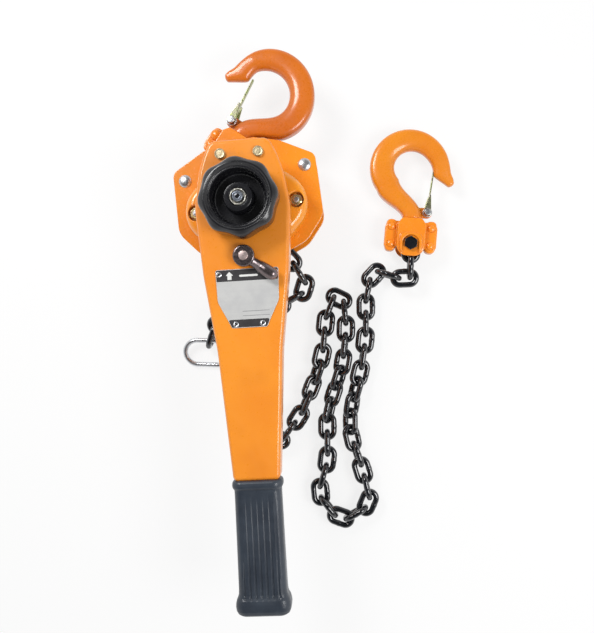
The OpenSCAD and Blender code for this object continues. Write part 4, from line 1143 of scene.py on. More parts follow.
@dataclass
class Chain:
    """Every link of the chain, and the ring at its slack end."""

    wire_r: float = 3.15
    crown_r: float = 7.35
    half_straight: float = 5.3
    ring_wire_r: float = 2.75
    ring_crown_r: float = 14.25
    ring_half: float = 21.0
    runs: tuple[str, ...] = ("load_chain_drop", "load_chain_fold", "load_chain_end", "slack_chain",
                             "chain_wrap")

    @staticmethod
    def islands(points: Array, triangles: Array) -> Array:
        """The number of the separate solid that each point belongs to.

        Every point starts with its own number. Each triangle gives its three points the lowest
        number among them, until nothing changes.

        Args:
            points: merged points (n, 3).
            triangles: faces (m, 3).

        Returns:
            Numbers (n,) that count from 0.
        """
        label = np.arange(len(points))
        while True:
            best = label[triangles].min(1)
            new = label.copy()
            np.minimum.at(new, triangles.ravel(), np.repeat(best, 3))
            new = new[new]
            if (new == label).all():
                return np.unique(label, return_inverse=True)[1]
            label = new

    def places(self, node: str) -> list[tuple[Array, Array]]:
        """Centre and axes of each link of a node, from the second moments of its volume.

        Each triangle makes a tetrahedron with the origin, of volume v = a . (b x c) / 6. The
        centre is the sum of v (a + b + c) / 4 over the sum of v, and the long and the short
        principal axis of the moments are the link's length and its normal.

        Args:
            node: the frame node's name.

        Returns:
            Pairs of a centre (3,) and axes (3, 3), whose rows are length, width and normal.
        """
        solid = copy_of(node)
        points, back = np.unique(np.round(solid.points[0], 4), axis=0, return_inverse=True)
        triangles = back.reshape(-1)[solid.faces[0]]
        label = self.islands(points, triangles)[triangles[:, 0]]
        found = []
        for k in range(label.max() + 1):
            corner = points[triangles[label == k]]
            middle = corner.mean((0, 1))
            a, b, c = np.moveaxis(corner - middle, 1, 0)
            v = (a * np.cross(b, c)).sum(1) / 6
            total = a + b + c
            centre = (v[:, None] * total).sum(0) / 4 / v.sum()
            moment = sum(np.einsum("i,ij,ik->jk", v, p, p) for p in (a, b, c, total)) / 20
            axes = np.linalg.eigh(moment / v.sum() - np.outer(centre, centre))[1].T[::-1]
            axes[1] = np.cross(axes[2], axes[0])
            found.append((centre + middle, axes))
        return found

    @staticmethod
    def link(half: float, crown: float, wire: float, weld: float, steps: int = 24,
             sides: int = 16) -> Shape:
        """One link: round wire along a stadium, with a weld bulge in the middle of one side.

        The middle line runs straight for 2 * half on each side and turns on a radius of crown at
        each end. The wire's radius grows by the share weld * exp(-(x / 1.7)^2) at the weld.

        Args:
            half: half the straight length.
            crown: radius of the middle line at the ends.
            wire: radius of the wire.
            weld: share that the weld adds.
            steps: spans in each end.
            sides: points round the wire.

        Returns:
            The shape, its length along X and its normal along Z.
        """
        straight = np.linspace(-half, half, 17)[1:-1]
        level = np.full(len(straight), crown)
        line = np.concatenate([
            arc((half, 0), crown, -90, 90, steps), np.stack([-straight, level], -1),
            arc((-half, 0), crown, 90, 270, steps), np.stack([straight, -level], -1)])
        out = unit(inset(line, [-1.0])[0] - line)
        on_side = np.where(line[:, 1] > crown - 0.01, 1.0, 0.0)
        radius = wire * (1 + weld * on_side * np.exp(-((line[:, 0] / 1.7) ** 2)))
        a = np.linspace(0, 2 * pi, sides, endpoint=False)[None, :]
        flat = line[:, None] + (radius[:, None] * np.cos(a))[..., None] * out[:, None]
        z = radius[:, None] * np.sin(a)
        return Shape().grid(np.concatenate([flat, z[..., None]], -1), close_rows=True)

    def run(self, node: str, one: Shape, name: str) -> None:
        """Puts one shape at every link of a node.

        Args:
            node: the frame node's name.
            one: the shape of one link.
            name: the piece's name.
        """
        shape = Shape()
        for centre, axes in self.places(node):
            shape.take(one.points[0] @ axes + centre, one.faces[0])
        SHOP.fit(shape, name, node, sharp=60)

    def build(self) -> None:
        """Makes the runs of chain and the end ring."""
        one = self.link(self.half_straight, self.crown_r, self.wire_r, 0.09)
        for node in self.runs:
            self.run(node, one, f"{node}_links")
        ring = self.link(self.ring_half, self.ring_crown_r, self.ring_wire_r, 0.06, 40, 20)
        self.run("end_ring", ring, "slack_end_ring")


# ---------------------------------------------------------------- lever


@dataclass
class Lever:
    """The lever's two pressed halves with their bolts, label plate and grip."""

    arm_end: float = 268.0
    arm_w: float = 22.5
    head_w: float = 46.0
    sheet: float = 2.5
    hub_hole_r: float = 17.05
    flange_hole_r: float = 19.05
    pivot_hole_r: float = 5.05
    bolt_hole_r: float = 3.0
    window_r: float = 8.0
    windows_y: Spot = (-190.0, -120.0)
    bolt: Spot = (18.5, 47.0)
    tang: tuple[float, float, float] = (14.0, 120.0, 15.0)
    label_x: float = 1.5
    label_y: float = -65.0
    label_foot: float = -121.5
    groove_x: tuple[float, ...] = (-16.5, -11.0, -5.5, 0.0, 5.5, 11.0, 16.5)
    groove_depth: float = 1.3
    groove_half: float = 1.1

    @staticmethod
    def lean(points: Array) -> Array:
        """Points of the lever's own frame turned to where it rests."""
        return turned(points, LEVER_LEAN)

    def outline(self) -> Array:
        """Outline of the lever in its own frame."""
        right = [(self.arm_w, -self.arm_end, 5), (31.5, -143, 60), (self.head_w - 4.5, -70, 90),
                 (self.head_w + 0.5, -4, 60), (41, 30, 30), (36, 45, 12), (29, 61, 10)]
        return rounded(mirrored(right), 10)

    def shells(self) -> None:
        """The deep outer shell and the flat inner sheet that closes it."""
        z, top = low("lever_outer")[2], high("lever_outer")[2]
        bolts = [circle(spot, self.bolt_hole_r, 32) for spot in pair(*self.bolt)]
        pivot = circle((0, SELECTOR_Y), self.pivot_hole_r, 48)
        holes = (circle((0, 0), self.hub_hole_r, 96), pivot, *bolts)
        outer = Pressing(self.outline(), z, top, self.sheet, 3.8, 4.0, holes).shape()
        half, length, height = self.tang
        middle = (z + top) / 2
        corners = [(half, -self.arm_end - length, 2), (half, -self.arm_end + 4, 2)]
        tongue = Plate(rounded(mirrored(corners)), middle - height / 2, middle + height / 2)
        SHOP.fit(outer.join(tongue.shape()).at(self.lean), "lever_shell", "lever_outer")
        windows = [circle((0, y), self.window_r, 48) for y in self.windows_y]
        holes = (circle((0, 0), self.flange_hole_r, 96), pivot, *bolts, *windows)
        flat = inset(self.outline(), [self.sheet + 0.05])[0]
        sheet = Plate(flat, z, z + self.sheet, holes, 0.3)
        SHOP.fit(sheet.shape().at(self.lean), "lever_back_sheet", "lever_inner")

    def bolts(self) -> None:
        """Rough yellow bolt heads: a low dome whose rim is cut into soft facets."""

        def facets(r: Array, angle: Array) -> Array:
            """Uneven waves round the head: three cosines, stronger towards the rim.

            Args:
                r: radii of the profile.
                angle: angles round the bolt.

            Returns:
                The factor on the radius.
            """
            waves = ((0.5, 7, 0), (0.3, 11, 1), (0.2, 3, 2))
            wave = sum(size * np.cos(count * angle + shift) for size, count, shift in waves)
            return 1 - 0.035 * (1 - wave) * np.clip(r / 3, 0, 1)

        profile = [(0, -0.3, 0), (5.2, -0.3, 0.2), (5.3, 2.4, 0.5), (4.6, 3.2, 0.5),
                   (3.4, 2.9, 0.5), (0, 3.1, 0)]
        heads = spun(profile, 84, 5, facets).repeated(pair(*self.bolt), high("lever_outer")[2])
        SHOP.fit(heads.at(self.lean), "lever_bolt_heads", "lever_bolts", EMBOSSED_ZINC, 50, False)

    def label_rows(self) -> list[Row]:
        """Corners of the label plate."""
        foot = self.label_foot
        return mirrored([(17, foot, 2), (20.5, foot + 7.5, 3), (29.5, foot + 25.5, 12),
                         (30.5, self.label_y, 2)])

    def label_edge(self, y: float) -> float:
        """Half width of the label at a height y, from the straight rows of its outline."""
        rows = self.label_rows()[:4]
        return float(np.interp(y, [row[1] for row in rows], [row[0] for row in rows]))

    def band(self, y0: float, y1: float) -> Array:
        """A strip across the label between two heights, 0.5 inside its edge."""
        rows = [(self.label_edge(y0) - 0.5, y0, 0.8), (self.label_edge(y1) - 0.5, y1, 1.4)]
        return rounded(mirrored(rows), 4)

    def on_label(self, points: Array) -> Array:
        """Points of the label's own frame turned to where it rests on the lever."""
        return self.lean(points + np.array([self.label_x, 0, 0]))

    @staticmethod
    def bar(start: Spot, end: Spot, corner: float, steps: int) -> Array:
        """Outline of a rectangle between two opposite corners, rounded in so many steps."""
        corners = (start, (end[0], start[1]), end, (start[0], end[1]))
        return rounded([(x, y, corner) for x, y in corners], steps)

    def printed(self, outlines: Sequence[Array], lift: float, name: str, finish: Finish) -> None:
        """Lays flat printed marks on the label plate.

        Args:
            outlines: the marks' outlines, in the label's own frame.
            lift: how far they stand out of the plate.
            name: the piece's name.
            finish: the print.
        """
        top = high("label_plate")[2]
        shape = Shape()
        for outline in outlines:
            shape.join(slab(outline, [(top - 0.05, 0), (top + lift, 0)]))
        SHOP.fit(shape.at(self.on_label), name, "label_plate", finish, stands_in=False)

    def label(self) -> None:
        """The blank rating plate with its dark bands, an arrow, a bar and two writing lines."""
        bottom, top = low("label_plate")[2], high("label_plate")[2]
        plate = Plate(rounded(self.label_rows()), bottom, top, (), 0.2)
        SHOP.fit(plate.shape().at(self.on_label), "rating_plate", "label_plate")
        foot, head = self.label_foot, self.label_y
        bands = [self.band(head - 11.5, head - 0.5), self.band(foot + 0.6, foot + 8)]
        self.printed(bands, 0.03, "plate_bands", BLACK_PRINT_AND_HOLE_SHADE)
        arrow = [(-19, -10), (-15, -10), (-15, -6), (-13.4, -6), (-17, -2.2), (-20.6, -6), (-19, -6)]
        bar = self.bar((-7.5, head - 7.6), (10.5, head - 5.6), 0.9, 4)
        self.printed([np.array(arrow) + (0, head), bar], 0.06, "plate_marks", PRINT_WHITE)
        rules = [self.bar((-6, foot + up), (20, foot + up + 0.5), 0.1, 2) for up in (15.5, 11.2)]
        self.printed(rules, 0.04, "plate_writing_lines", PRINT_GREY)

    def eyelets(self) -> None:
        """Four hollow eyelets: a rolled ring round a small hole, which a black plug fills as painted
        shade.
        """
        top = high("label_plate")[2]
        spots = pair(27.2, self.label_y - 4.5) + pair(13.0, self.label_foot + 3.5)
        ring = spun([(1.2, -3.0, 0.1), (1.9, -3.0, 0.1), (1.9, 0, 0.1), (2.7, 0, 0.1),
                     (2.8, 0.45, 0.25), (2.1, 0.85, 0.3), (1.4, 0.6, 0.2)], 40, 3)
        SHOP.fit(ring.repeated(spots, top).at(self.on_label), "label_eyelets", "label_rivets")
        # A black plug in each eyelet's hole: painted shade.
        hole_shade = spun([(0, -2.5, 0), (1.3, -2.5, 0.1), (1.3, 0.1, 0.1), (0, 0.1, 0)], 24, 2)
        SHOP.fit(hole_shade.repeated(spots, top).at(self.on_label), "label_eyelet_hole_shade", "label_rivets",
                 BLACK_PRINT_AND_HOLE_SHADE, stands_in=False)

    def grip(self) -> None:
        """The rubber grip: a lofted sleeve with a lip, grooves on each face and a flared end.

        Its section is a rounded rectangle: one quarter runs along the flat of the face, round a
        corner of 0.62 times the smaller half size, and down the side, and is mirrored into the
        other three. The wall goes in by depth * (1 - (dx / half)^2) within half a groove's width
        of each groove line. The rows below give distance along the grip, half width and half height.
        """
        z, top = low("lever_outer")[2], high("lever_outer")[2]
        start = self.arm_end - 0.5
        rows = np.array([[0, 22.6, 12.4], [0.8, 23.6, 13.6], [2.2, 24.2, 14.4], [4.5, 24.4, 14.8],
                         [6.4, 24.2, 14.6], [7.8, 23.6, 13.6], [8.6, 22.9, 12.6], [10, 22.6, 12.3],
                         [14, 22.5, 12.3], [60, 22.8, 12.6], [104, 23.2, 12.9], [108, 23.5, 13.0],
                         [110.5, 24.3, 13.6], [113, 25.5, 14.7], [116, 26.3, 15.4],
                         [119.5, 26.6, 15.7], [123, 26.2, 15.2], [126, 24.9, 13.9],
                         [127.8, 22.6, 11.8], [128.4, 20.0, 9.5]])
        stretches = ((0, 20, 70), (22, 104, 32), (104.5, rows[-1, 0], 72))
        s = np.concatenate([np.linspace(*stretch[:2], stretch[2]) for stretch in stretches])
        w, h = (np.interp(s, rows[:, 0], rows[:, k])[:, None] for k in (1, 2))
        corner = 0.62 * h
        face, side = np.linspace(0, 1, 48)[None, :], np.linspace(0, 1, 5)[None, 1:]
        bend = np.linspace(0, pi / 2, 11)[None, 1:]
        flat_w, flat_h = w - corner, h - corner
        x = np.concatenate([face * flat_w, flat_w + corner * np.sin(bend), w + 0 * side], 1)
        up = np.concatenate([h + 0 * face, flat_h + corner * np.cos(bend), flat_h * (1 - side)], 1)
        x = np.concatenate([x, x[:, -2::-1]], 1)
        up = np.concatenate([up, -up[:, -2::-1]], 1)
        x = np.concatenate([x, -x[:, -2:0:-1]], 1)
        up = np.concatenate([up, up[:, -2:0:-1]], 1)
        window = np.interp(s, [14, 24, 60, 90, 111, 112.5], [0, 0.3, 0.5, 1, 1, 0])
        near = np.abs(x[..., None] - np.array(self.groove_x)).min(-1)
        flatness = np.clip((np.abs(up) / h - 0.85) / 0.12, 0, 1)
        groove = np.clip(1 - (near / self.groove_half) ** 2, 0, 1)
        depth = self.groove_depth * groove * window[:, None] * flatness
        rings = np.stack([x, np.repeat(-(start + s)[:, None], x.shape[1], 1),
                          (z + top) / 2 + up - np.sign(up) * depth], -1)
        SHOP.fit(Shape().loft(rings).at(self.lean), "grip_sleeve", "grip", sharp=60)

    def build(self) -> None:
        """Makes the lever's pieces."""
        self.shells()
        self.bolts()
        self.label()
        self.eyelets()
        self.grip()


@dataclass
class HandWheel:
    """The free-spin wheel: eight soft lobes, a rolled rim and a sunk dish."""

    lobes: int = 8
    ripple: float = 1.15
    bore: float = 7.55
    dish_r: float = 26.5
    boss_r: float = 13.5

    def moulding(self) -> None:
        """Spins the wheel's profile round the shaft, with the lobes fading out inside the rim."""
        z0, z1 = low("hand_wheel")[2], high("hand_wheel")[2]
        r = high("hand_wheel")[0] - self.ripple
        floor, seat = z0 + 6, z1 - 12
        rows = [(self.bore, z0, 0.3), (r - 3.5, z0, 3.0), (r - 0.4, z0 + 6, 5), (r, z0 + 10, 4),
                (r - 0.6, z1 - 3.6, 6), (32.2, z1 - 0.1, 3.0), (31.2, z1, 0.4), (30.2, z1 - 0.8, 0.6),
                (28.2, z1 - 3.2, 1.2), (27.0, z1 - 3.0, 0.3), (self.dish_r - 0.4, z1 - 4.2, 0.4),
                (self.dish_r - 0.9, floor, 3), (self.boss_r + 0.4, floor, 1.6),
                (self.boss_r, z1 - 6, 1.0), (8.6, z1 - 6, 0.5), (8.4, seat, 0.2),
                (self.bore, seat, 0.1)]

        def lobed(radius: Array, angle: Array) -> Array:
            """The lobes' factor on the radius: 1 + share * ripple * cos(lobes * angle) / radius.

            Args:
                radius: radii of the profile.
                angle: angles round the shaft.

            Returns:
                The factor, whose share climbs smoothly from 0 to 1 between radius 31.5 and 37.5.
            """
            share = np.clip((radius - 31.5) / 6, 0, 1)
            share = share * share * (3 - 2 * share)
            return 1 + share * self.ripple * np.cos(self.lobes * angle) / np.maximum(radius, 1)

        SHOP.fit(spun(rows, 192, 6, lobed), "hand_wheel_moulding", "hand_wheel", sharp=55)

    def nut(self) -> None:
        """The castle nut: a notched collar round a sunk thread, and the bright end of the shaft with a
        black disc in its centre hole as painted shade.
        """
        z, top = low("wheel_nut")[2], high("wheel_nut")[2]
        deep = max(z + 1, top - 7)
        rows = [(5.05, z, 0.2), (7.8, z, 0.2), (7.8, top - 0.6, 0.5), (7.4, top, 0.3),
                (6.6, top, 0.3), (6.4, top - 1, 0.2), (6.3, deep, 0.2), (5.05, deep - 0.2, 0.1)]
        r, height = np.split(rounded(rows, 4), 2, axis=1)
        angle = np.linspace(0, 2 * pi, 180, endpoint=False)[None, :]
        across = np.abs(r * np.sin((angle + pi / 6) % (pi / 3) - pi / 6))
        notch = np.clip((0.8 - across) / 0.3, 0, 1)
        rings = np.stack([r * np.cos(angle), r * np.sin(angle), np.minimum(height, top - notch)], -1)
        SHOP.fit(Shape().grid(rings, close_rows=True), "castle_nut", "wheel_nut", NUT_ZINC)
        shaft = moved(0, 0, high("pinion_shaft")[2])
        tip = spun([(1.9, -2.2, 0.1), (5.1, -2.2, 0.1), (5.1, -0.2, 0.4), (4.5, 0.5, 0.3),
                    (2.5, 0.5, 0.3), (1.9, -0.3, 0.2)])
        SHOP.fit(tip.at(shaft), "shaft_end_ring", "pinion_shaft", SHAFT_STEEL, stands_in=False)
        # A flat black disc in the shaft end's centre hole: painted shade, in the chain's black finish.
        dark = spun([(0, -1, 0), (2.2, -1, 0.1), (2.2, 0.05, 0.05), (0, 0.05, 0)], 32, 2)
        SHOP.fit(dark.at(shaft), "shaft_hole_painted_shade", "pinion_shaft", SLOTS["chain_black"],
                 stands_in=False)

    def build(self) -> None:
        """Makes the wheel and its nut."""
        self.moulding()
        self.nut()


@dataclass
class Selector:
    """The up, neutral and down switch on the lever."""

    grain: float = 0.4
    passes: int = 12
    swing: float = 54.0
    boss_r: float = 10.5
    boss_h: float = 8.0
    pin_r: float = 4.6
    shaft_r: float = 5.0
    ball_at: float = 32.0
    ball_r: float = 6.1

    def arm(self) -> Shape:
        """The arm, which swells into a capsule: ellipses square to a line away from the pivot.

        The rows give distance from the pivot, half width, half height and height of the middle.
        The last stretch closes as a half ball, with a factor of the root of 1 - t^2.

        Returns:
            The shape, which points along -Y.
        """
        rows = np.array([[4, 4.6, 3.2, 3.8], [11, 4.4, 3.4, 4.2], [15, 4.8, 4.2, 5.0],
                         [20, 5.7, 5.4, 6.2], [25, 6.1, 6.0, 6.6], [32, 6.1, 6.0, 6.6]])
        t = np.linspace(0, 1, 24)[1:-1]
        ball = self.ball_at + self.ball_r * np.sin(t * pi / 2)
        s = np.concatenate([np.linspace(rows[0, 0], self.ball_at, 60), ball])
        w, h, z = (np.interp(s, rows[:, 0], rows[:, k])[:, None] for k in (1, 2, 3))
        past = np.clip((s - self.ball_at) / self.ball_r, 0, 1)[:, None]
        close = np.sqrt(1 - past**2)
        a = np.linspace(0, 2 * pi, 40, endpoint=False)[None, :]
        y = -s[:, None] + 0 * a
        return Shape().loft(np.stack([w * close * np.cos(a), y, z + h * close * np.sin(a)], -1))

    def build(self) -> None:
        """Melts boss, arm and shaft into one soft casting, and puts the cap on its pin."""
        top, foot = high("lever_outer")[2], low("selector")[2]
        r, h = self.boss_r, self.boss_h
        shape = spun([(0, 0.4, 0), (r, 0.4, 0.6), (r, h, 1.6), (0, h, 0)], 72, 6)
        shape.join(self.arm()).at(lambda p: turned(p, self.swing)).at(moved(0, 0, top + 1.2))
        r, h = self.shaft_r, top + 4
        shape.join(spun([(0, foot, 0), (r, foot, 0.3), (r, h, 0.1), (0, h, 0)], 48, 3))
        shape.at(moved(0, SELECTOR_Y, 0)).at(Lever.lean)
        forged(SHOP.fit(shape, "selector_casting", "selector"), self.grain, self.passes)
        r = self.pin_r
        cap = spun([(0, -0.2, 0), (r, -0.2, 0.1), (r, 0.8, 0.5), (0, 1.3, 0)], 64, 5)
        cap.at(moved(0, SELECTOR_Y, low("selector_nut")[2])).at(Lever.lean)
        SHOP.fit(cap, "selector_cap", "selector_nut", CAP_ZINC)


# ---------------------------------------------------------------- hooks


class End(Enum):
    """The two hooks: name, the joint at its pin, lean in degrees, size, and side of its opening."""

    TOP = ("top", "top_hook_swivel", -41.0, 1.0, 1.0)
    BOTTOM = ("bottom", "bottom_hook_swivel", -12.0, 0.94, -1.0)


@dataclass
class Hook:
    """A forged hook with its safety latch, and the two-part yoke that holds it.

    Places are in the hook's frame: its pin is the origin and its bowl lies along +Y. Shank and
    head give radius, start, end and corner radius along the hook's length.
    """

    end: End
    enamel: Enamel
    bowl_at: Spot
    inside: tuple[float, ...]
    outside: tuple[float, ...]
    nose: Spot
    latch_tip: Spot
    bowl_angles: tuple[float, ...] = (60.0, 90.0, 120.0, 150.0, 180.0, 210.0, 235.0)
    neck_r: float = 11.0
    collar_y: float = 29.8
    half_t: float = 10.5
    bowl_thinner: float = 1.8
    nose_thinner: float = 3.2
    shank: tuple[float, float, float, float] = (7.5, 14.0, 34.0, 0.4)
    head: tuple[float, float, float, float] = (11.0, 16.0, 21.5, 0.5)
    lug_r: float = 6.0
    lug_length: float = 10.0
    latch: Spot = (-17.0, 38.0)
    ear_rivet_x: float = 21.5
    ear_t: float = 6.5
    ear_half_w: float = 5.6
    ear_corner: float = 4.6
    bolt_end: float = 17.6
    bolt_r: float = 3.8
    bolt_corner: float = 7.6

    def place(self, points: Array) -> Array:
        """Points of the hook's own frame, brought to its pin with its lean, size and side."""
        _, joint, lean, size, side = self.end.value
        return turned(points * np.array([side, 1, 1]) * size, lean) + joint_place(joint)

    def bowl(self, radii: Sequence[float], angle: Array) -> Array:
        """Points of one side of the bowl; a fourth-degree curve runs through its measured radii.

        Args:
            radii: radii at bowl_angles, of the bowl's inside or its back.
            angle: angles in degrees from straight down.

        Returns:
            Points (..., 2) in the hook's frame.
        """
        r = np.polyval(np.polyfit(self.bowl_angles, radii, 4), angle)
        t = np.radians(angle)
        return np.array(self.bowl_at) + np.stack([r * np.sin(t), -r * np.cos(t)], -1)

    def rings(self) -> Array:
        """Cross-sections from the neck round the bowl to the nose, whose beak has a notched inside.

        Each one is a superellipse between an inner point p and an outer point q: its middle is
        (p + q) / 2, and its sides are u = sign(cos) |cos|^e along (q - p) / 2 and
        v = sign(sin) |sin|^f times the half thickness along Z. The exponents are 0.9 and 0.85 on
        the inner half, 0.6 and 0.5 on the outer one, so that the back is squarer than the inside.

        Returns:
            Points (rings, 64, 3) in the hook's frame.
        """
        a = np.linspace(self.bowl_angles[0], self.bowl_angles[-1], 90)
        neck_t, t = np.linspace(0, 1, 26)[:-1], np.linspace(0, 1, 18)[1:]
        bowl, nose = np.array(self.bowl_at), np.array(self.nose)
        # One side a row: radii, where the neck starts, its first handle and, from the bowl's centre,
        # its second one, how far the bowl's own direction goes on, and then, from the nose, the
        # throat's handle, where the beak starts, the beak's two handles and its end.
        sides = ((self.inside, (-self.neck_r, self.collar_y), (-self.neck_r, self.collar_y + 23),
                  (12.8, -26.0), 3, (-26.2, 8), (-26.4, 2.4), (-27.2, -0.8), (-33, -3), (-43.4, -9.8)),
                 (self.outside, (self.neck_r, self.collar_y), (self.neck_r, self.collar_y + 11),
                  (35.7, -39.0), 7, (-45.2, 13), (-46.2, 7.5), (-47, 2.5), (-50.6, 0), (-50.6, -4.6)))
        lines = []
        for radii, start, up, into, reach, *beak in sides:
            round_bowl = self.bowl(radii, a)
            neck = bezier(np.array(start), np.array(up), bowl + into, round_bowl[0], neck_t)
            last = round_bowl[-1]
            flow = unit(last - self.bowl(radii, a[-1] - 1))
            hold, root, *tip = (nose + spot for spot in beak)
            throat = bezier(last, last + reach * flow, hold, root, t)
            lines.append([neck, round_bowl, throat, bezier(root, *tip, t)])
        p, q = (np.concatenate(line) for line in lines)
        cap = np.linspace(0.15, 1, 8)[:, None] * pi / 2
        nudge = (p[-1] + q[-1]) / 2 + 3.0 * np.sin(cap) * np.array([-0.6, -0.8])
        half = (p[-1] - q[-1]) / 2 * np.cos(cap)
        p, q = np.concatenate([p, nudge + half]), np.concatenate([q, nudge - half])
        neck_h = self.neck_r + (self.half_t - self.neck_r) * neck_t
        bowl_h = self.half_t - self.bowl_thinner * np.linspace(0, 1, len(a))
        nose_h = bowl_h[-1] - self.nose_thinner * np.linspace(0, 1, 2 * len(t))
        h = np.concatenate([neck_h, bowl_h, nose_h, nose_h[-1] * np.cos(cap[:, 0]) + 0.05])
        b = np.linspace(0, 2 * pi, 64, endpoint=False)[None, :]
        back = np.cos(b) > 0
        u = np.sign(np.cos(b)) * np.abs(np.cos(b)) ** np.where(back, 0.6, 0.9)
        v = np.sign(np.sin(b)) * np.abs(np.sin(b)) ** np.where(back, 0.5, 0.85)
        flat = ((p + q) / 2)[:, None] + u[..., None] * ((q - p) / 2)[:, None]
        return np.concatenate([flat, (-h[:, None] * v)[..., None]], -1)

    def forging(self) -> None:
        """The hook with its shank, head and latch lug, melted into one forging."""
        name = self.end.value[0]

        def along_shank(points: Array) -> Array:
            """A solid spun about Z laid along the shank."""
            return points @ np.array([[1.0, 0, 0], [0, 0, -1.0], [0, 1.0, 0]])

        shape = Shape().loft(self.rings())
        for r, start, end, corner in (self.shank, self.head):
            bar = [(0, start, 0), (r, start, corner), (r, end, corner), (0, end, 0)]
            shape.join(spun(bar, 48).at(along_shank))
        (x, y), r, root = self.latch, self.lug_r, self.latch[0] + self.lug_length
        lug = rounded([(x - r, y - r, r - 0.1), (root, y - r, 1), (root, y + r, 1),
                       (x - r, y + r, r - 0.1)])
        shape.join(slab(lug, [(-6, 0), (1, 0)]))
        piece = SHOP.fit(shape.at(self.place), f"{name}_hook_forging", f"{name}_hook", self.enamel)
        forged(piece, 0.75, 4)

    def latch_place(self, points: Array) -> Array:
        """Points of the latch's own frame, its pivot at the origin and its tip along +Y."""
        x, y = np.subtract(self.latch_tip, self.latch)
        return self.place(turned(points, degrees(np.arctan2(-x, y))) + np.array([*self.latch, 0]))

    def latch_pieces(self) -> None:
        """The sprung latch: a tapered web with two cheeks, and its pin."""
        name = self.end.value[0]
        reach = float(np.hypot(*np.subtract(self.latch_tip, self.latch)))
        web = Plate(rounded(mirrored([(8.2, 6, 1), (3.0, 18, 9), (2.6, reach, 2)])), -0.8, 0.8, (), 0.35)
        shape = web.shape().at(lambda p: p[:, [2, 1, 0]])
        cheek = rounded([(-4.6, -2, 1), (0, -4.9, 4), (4.9, 0.5, 3), (1.1, 20, 0.7), (-0.9, 20, 0.7),
                         (-2.8, 8, 4)])
        bore = circle((0, 0), 2.6, 32)
        for z in (-8.6, 6.6):
            shape.join(Plate(cheek, z, z + 2, (bore,), 0.4).shape())
        SHOP.fit(shape.at(self.latch_place), f"{name}_latch_plate", f"{name}_latch", LATCH_ZINC)
        pin = spun([(0, -10.6, 0), (3.4, -10.6, 0.5), (4, -10, 0.5), (4, -8.9, 0.3), (2.5, -8.9, 0.1),
                    (2.5, 8.9, 0.1), (4, 8.9, 0.3), (4, 10, 0.5), (3.4, 10.6, 0.5), (0, 10.6, 0)], 48)
        SHOP.fit(pin.at(self.latch_place), f"{name}_latch_rivet", f"{name}_latch_pin",
                 SLOTS["zinc_bright"])

    def spring(self) -> None:
        """The latch's coil: a wire that climbs pitch * turns while it goes round."""
        name = self.end.value[0]
        turns, radius, wire, pitch = 2.0, 4.9, 0.65, 1.7
        t = np.linspace(-0.03, turns + 0.03, 120)
        path = np.stack([radius * np.cos(2 * pi * t), radius * np.sin(2 * pi * t), 1.9 + pitch * t], -1)
        coil = Shape().loft(tube(path, wire, 12)).at(self.latch_place)
        SHOP.fit(coil, f"{name}_latch_coil", f"{name}_latch_spring", sharp=60)

    def yoke(self) -> None:
        """Both forged halves of the yoke with softened edges, and their rivets."""
        name = self.end.value[0]
        y0, y1 = (-4, 24) if self.end is End.TOP else (-9, 26)
        for face, side in (("front", 1), ("rear", -1)):
            node = f"{name}_yoke_{face}"
            ears = Shape()
            for x in (-self.ear_rivet_x, self.ear_rivet_x):
                left, right, r = x - self.ear_half_w, x + self.ear_half_w, self.ear_corner
                ear = rounded([(left, y0, r), (right, y0, r), (right, y1, r), (left, y1, r)])
                ear = slab(ear, [(0.4, 0), (self.ear_t - 1, 0), (self.ear_t, 0.9)])
                ears.join(ear.at(lambda p: p * np.array([1, 1, side])))
            shape = copy_of(node).join(ears.at(self.yoke_place))
            forged(SHOP.fit(shape, f"{node}_forging", node), 0.6, 6)
        shape = Shape()
        for x in (-self.ear_rivet_x, self.ear_rivet_x):
            for y in (y0 + 8, y1 - 8):
                for side in (1, -1):
                    knob = self.end is End.TOP and x < 0 and y > y0 + 8 and side == 1
                    head = dome(6.2, 4.5) if knob else dome(4.2, 2.6)
                    shape.join(head.at(moved(0, 0, self.ear_t))
                               .at(lambda p: p * np.array([1, 1, side])).at(moved(x, y, 0)))
        SHOP.fit(shape.at(self.yoke_place), f"{name}_yoke_rivet_heads", f"{name}_yoke_rivets")

    def yoke_place(self, points: Array) -> Array:
        """Points of the yoke's own frame: as the hook's, at full size."""
        return turned(points, self.end.value[2]) + joint_place(self.end.value[1])

    def bolt(self) -> None:
        """The black bolt through the last link: a hex head with a chamfered face at each end."""
        r, end, seat = self.bolt_corner, self.bolt_end, self.bolt_end - 3.4
        right = [(0, end, 0), (r - 1, end, 0.3), (r, end - 0.6, 0.3), (r, seat, 0.2),
                 (self.bolt_r, seat, 0.1)]
        rows = [(x, -z, corner) for x, z, corner in right] + right[::-1]
        shape = spun(rows, 96, 3, hexagonal(2 * r * cos(pi / 6)))
        SHOP.fit(shape.at(self.yoke_place), "chain_bolt", "chain_pin", sharp=28)

    def build(self) -> None:
        """Makes the hook's pieces."""
        self.forging()
        self.latch_pieces()
        self.spring()
        self.yoke()
        if self.end is End.BOTTOM:
            self.bolt()


# ---------------------------------------------------------------- studio


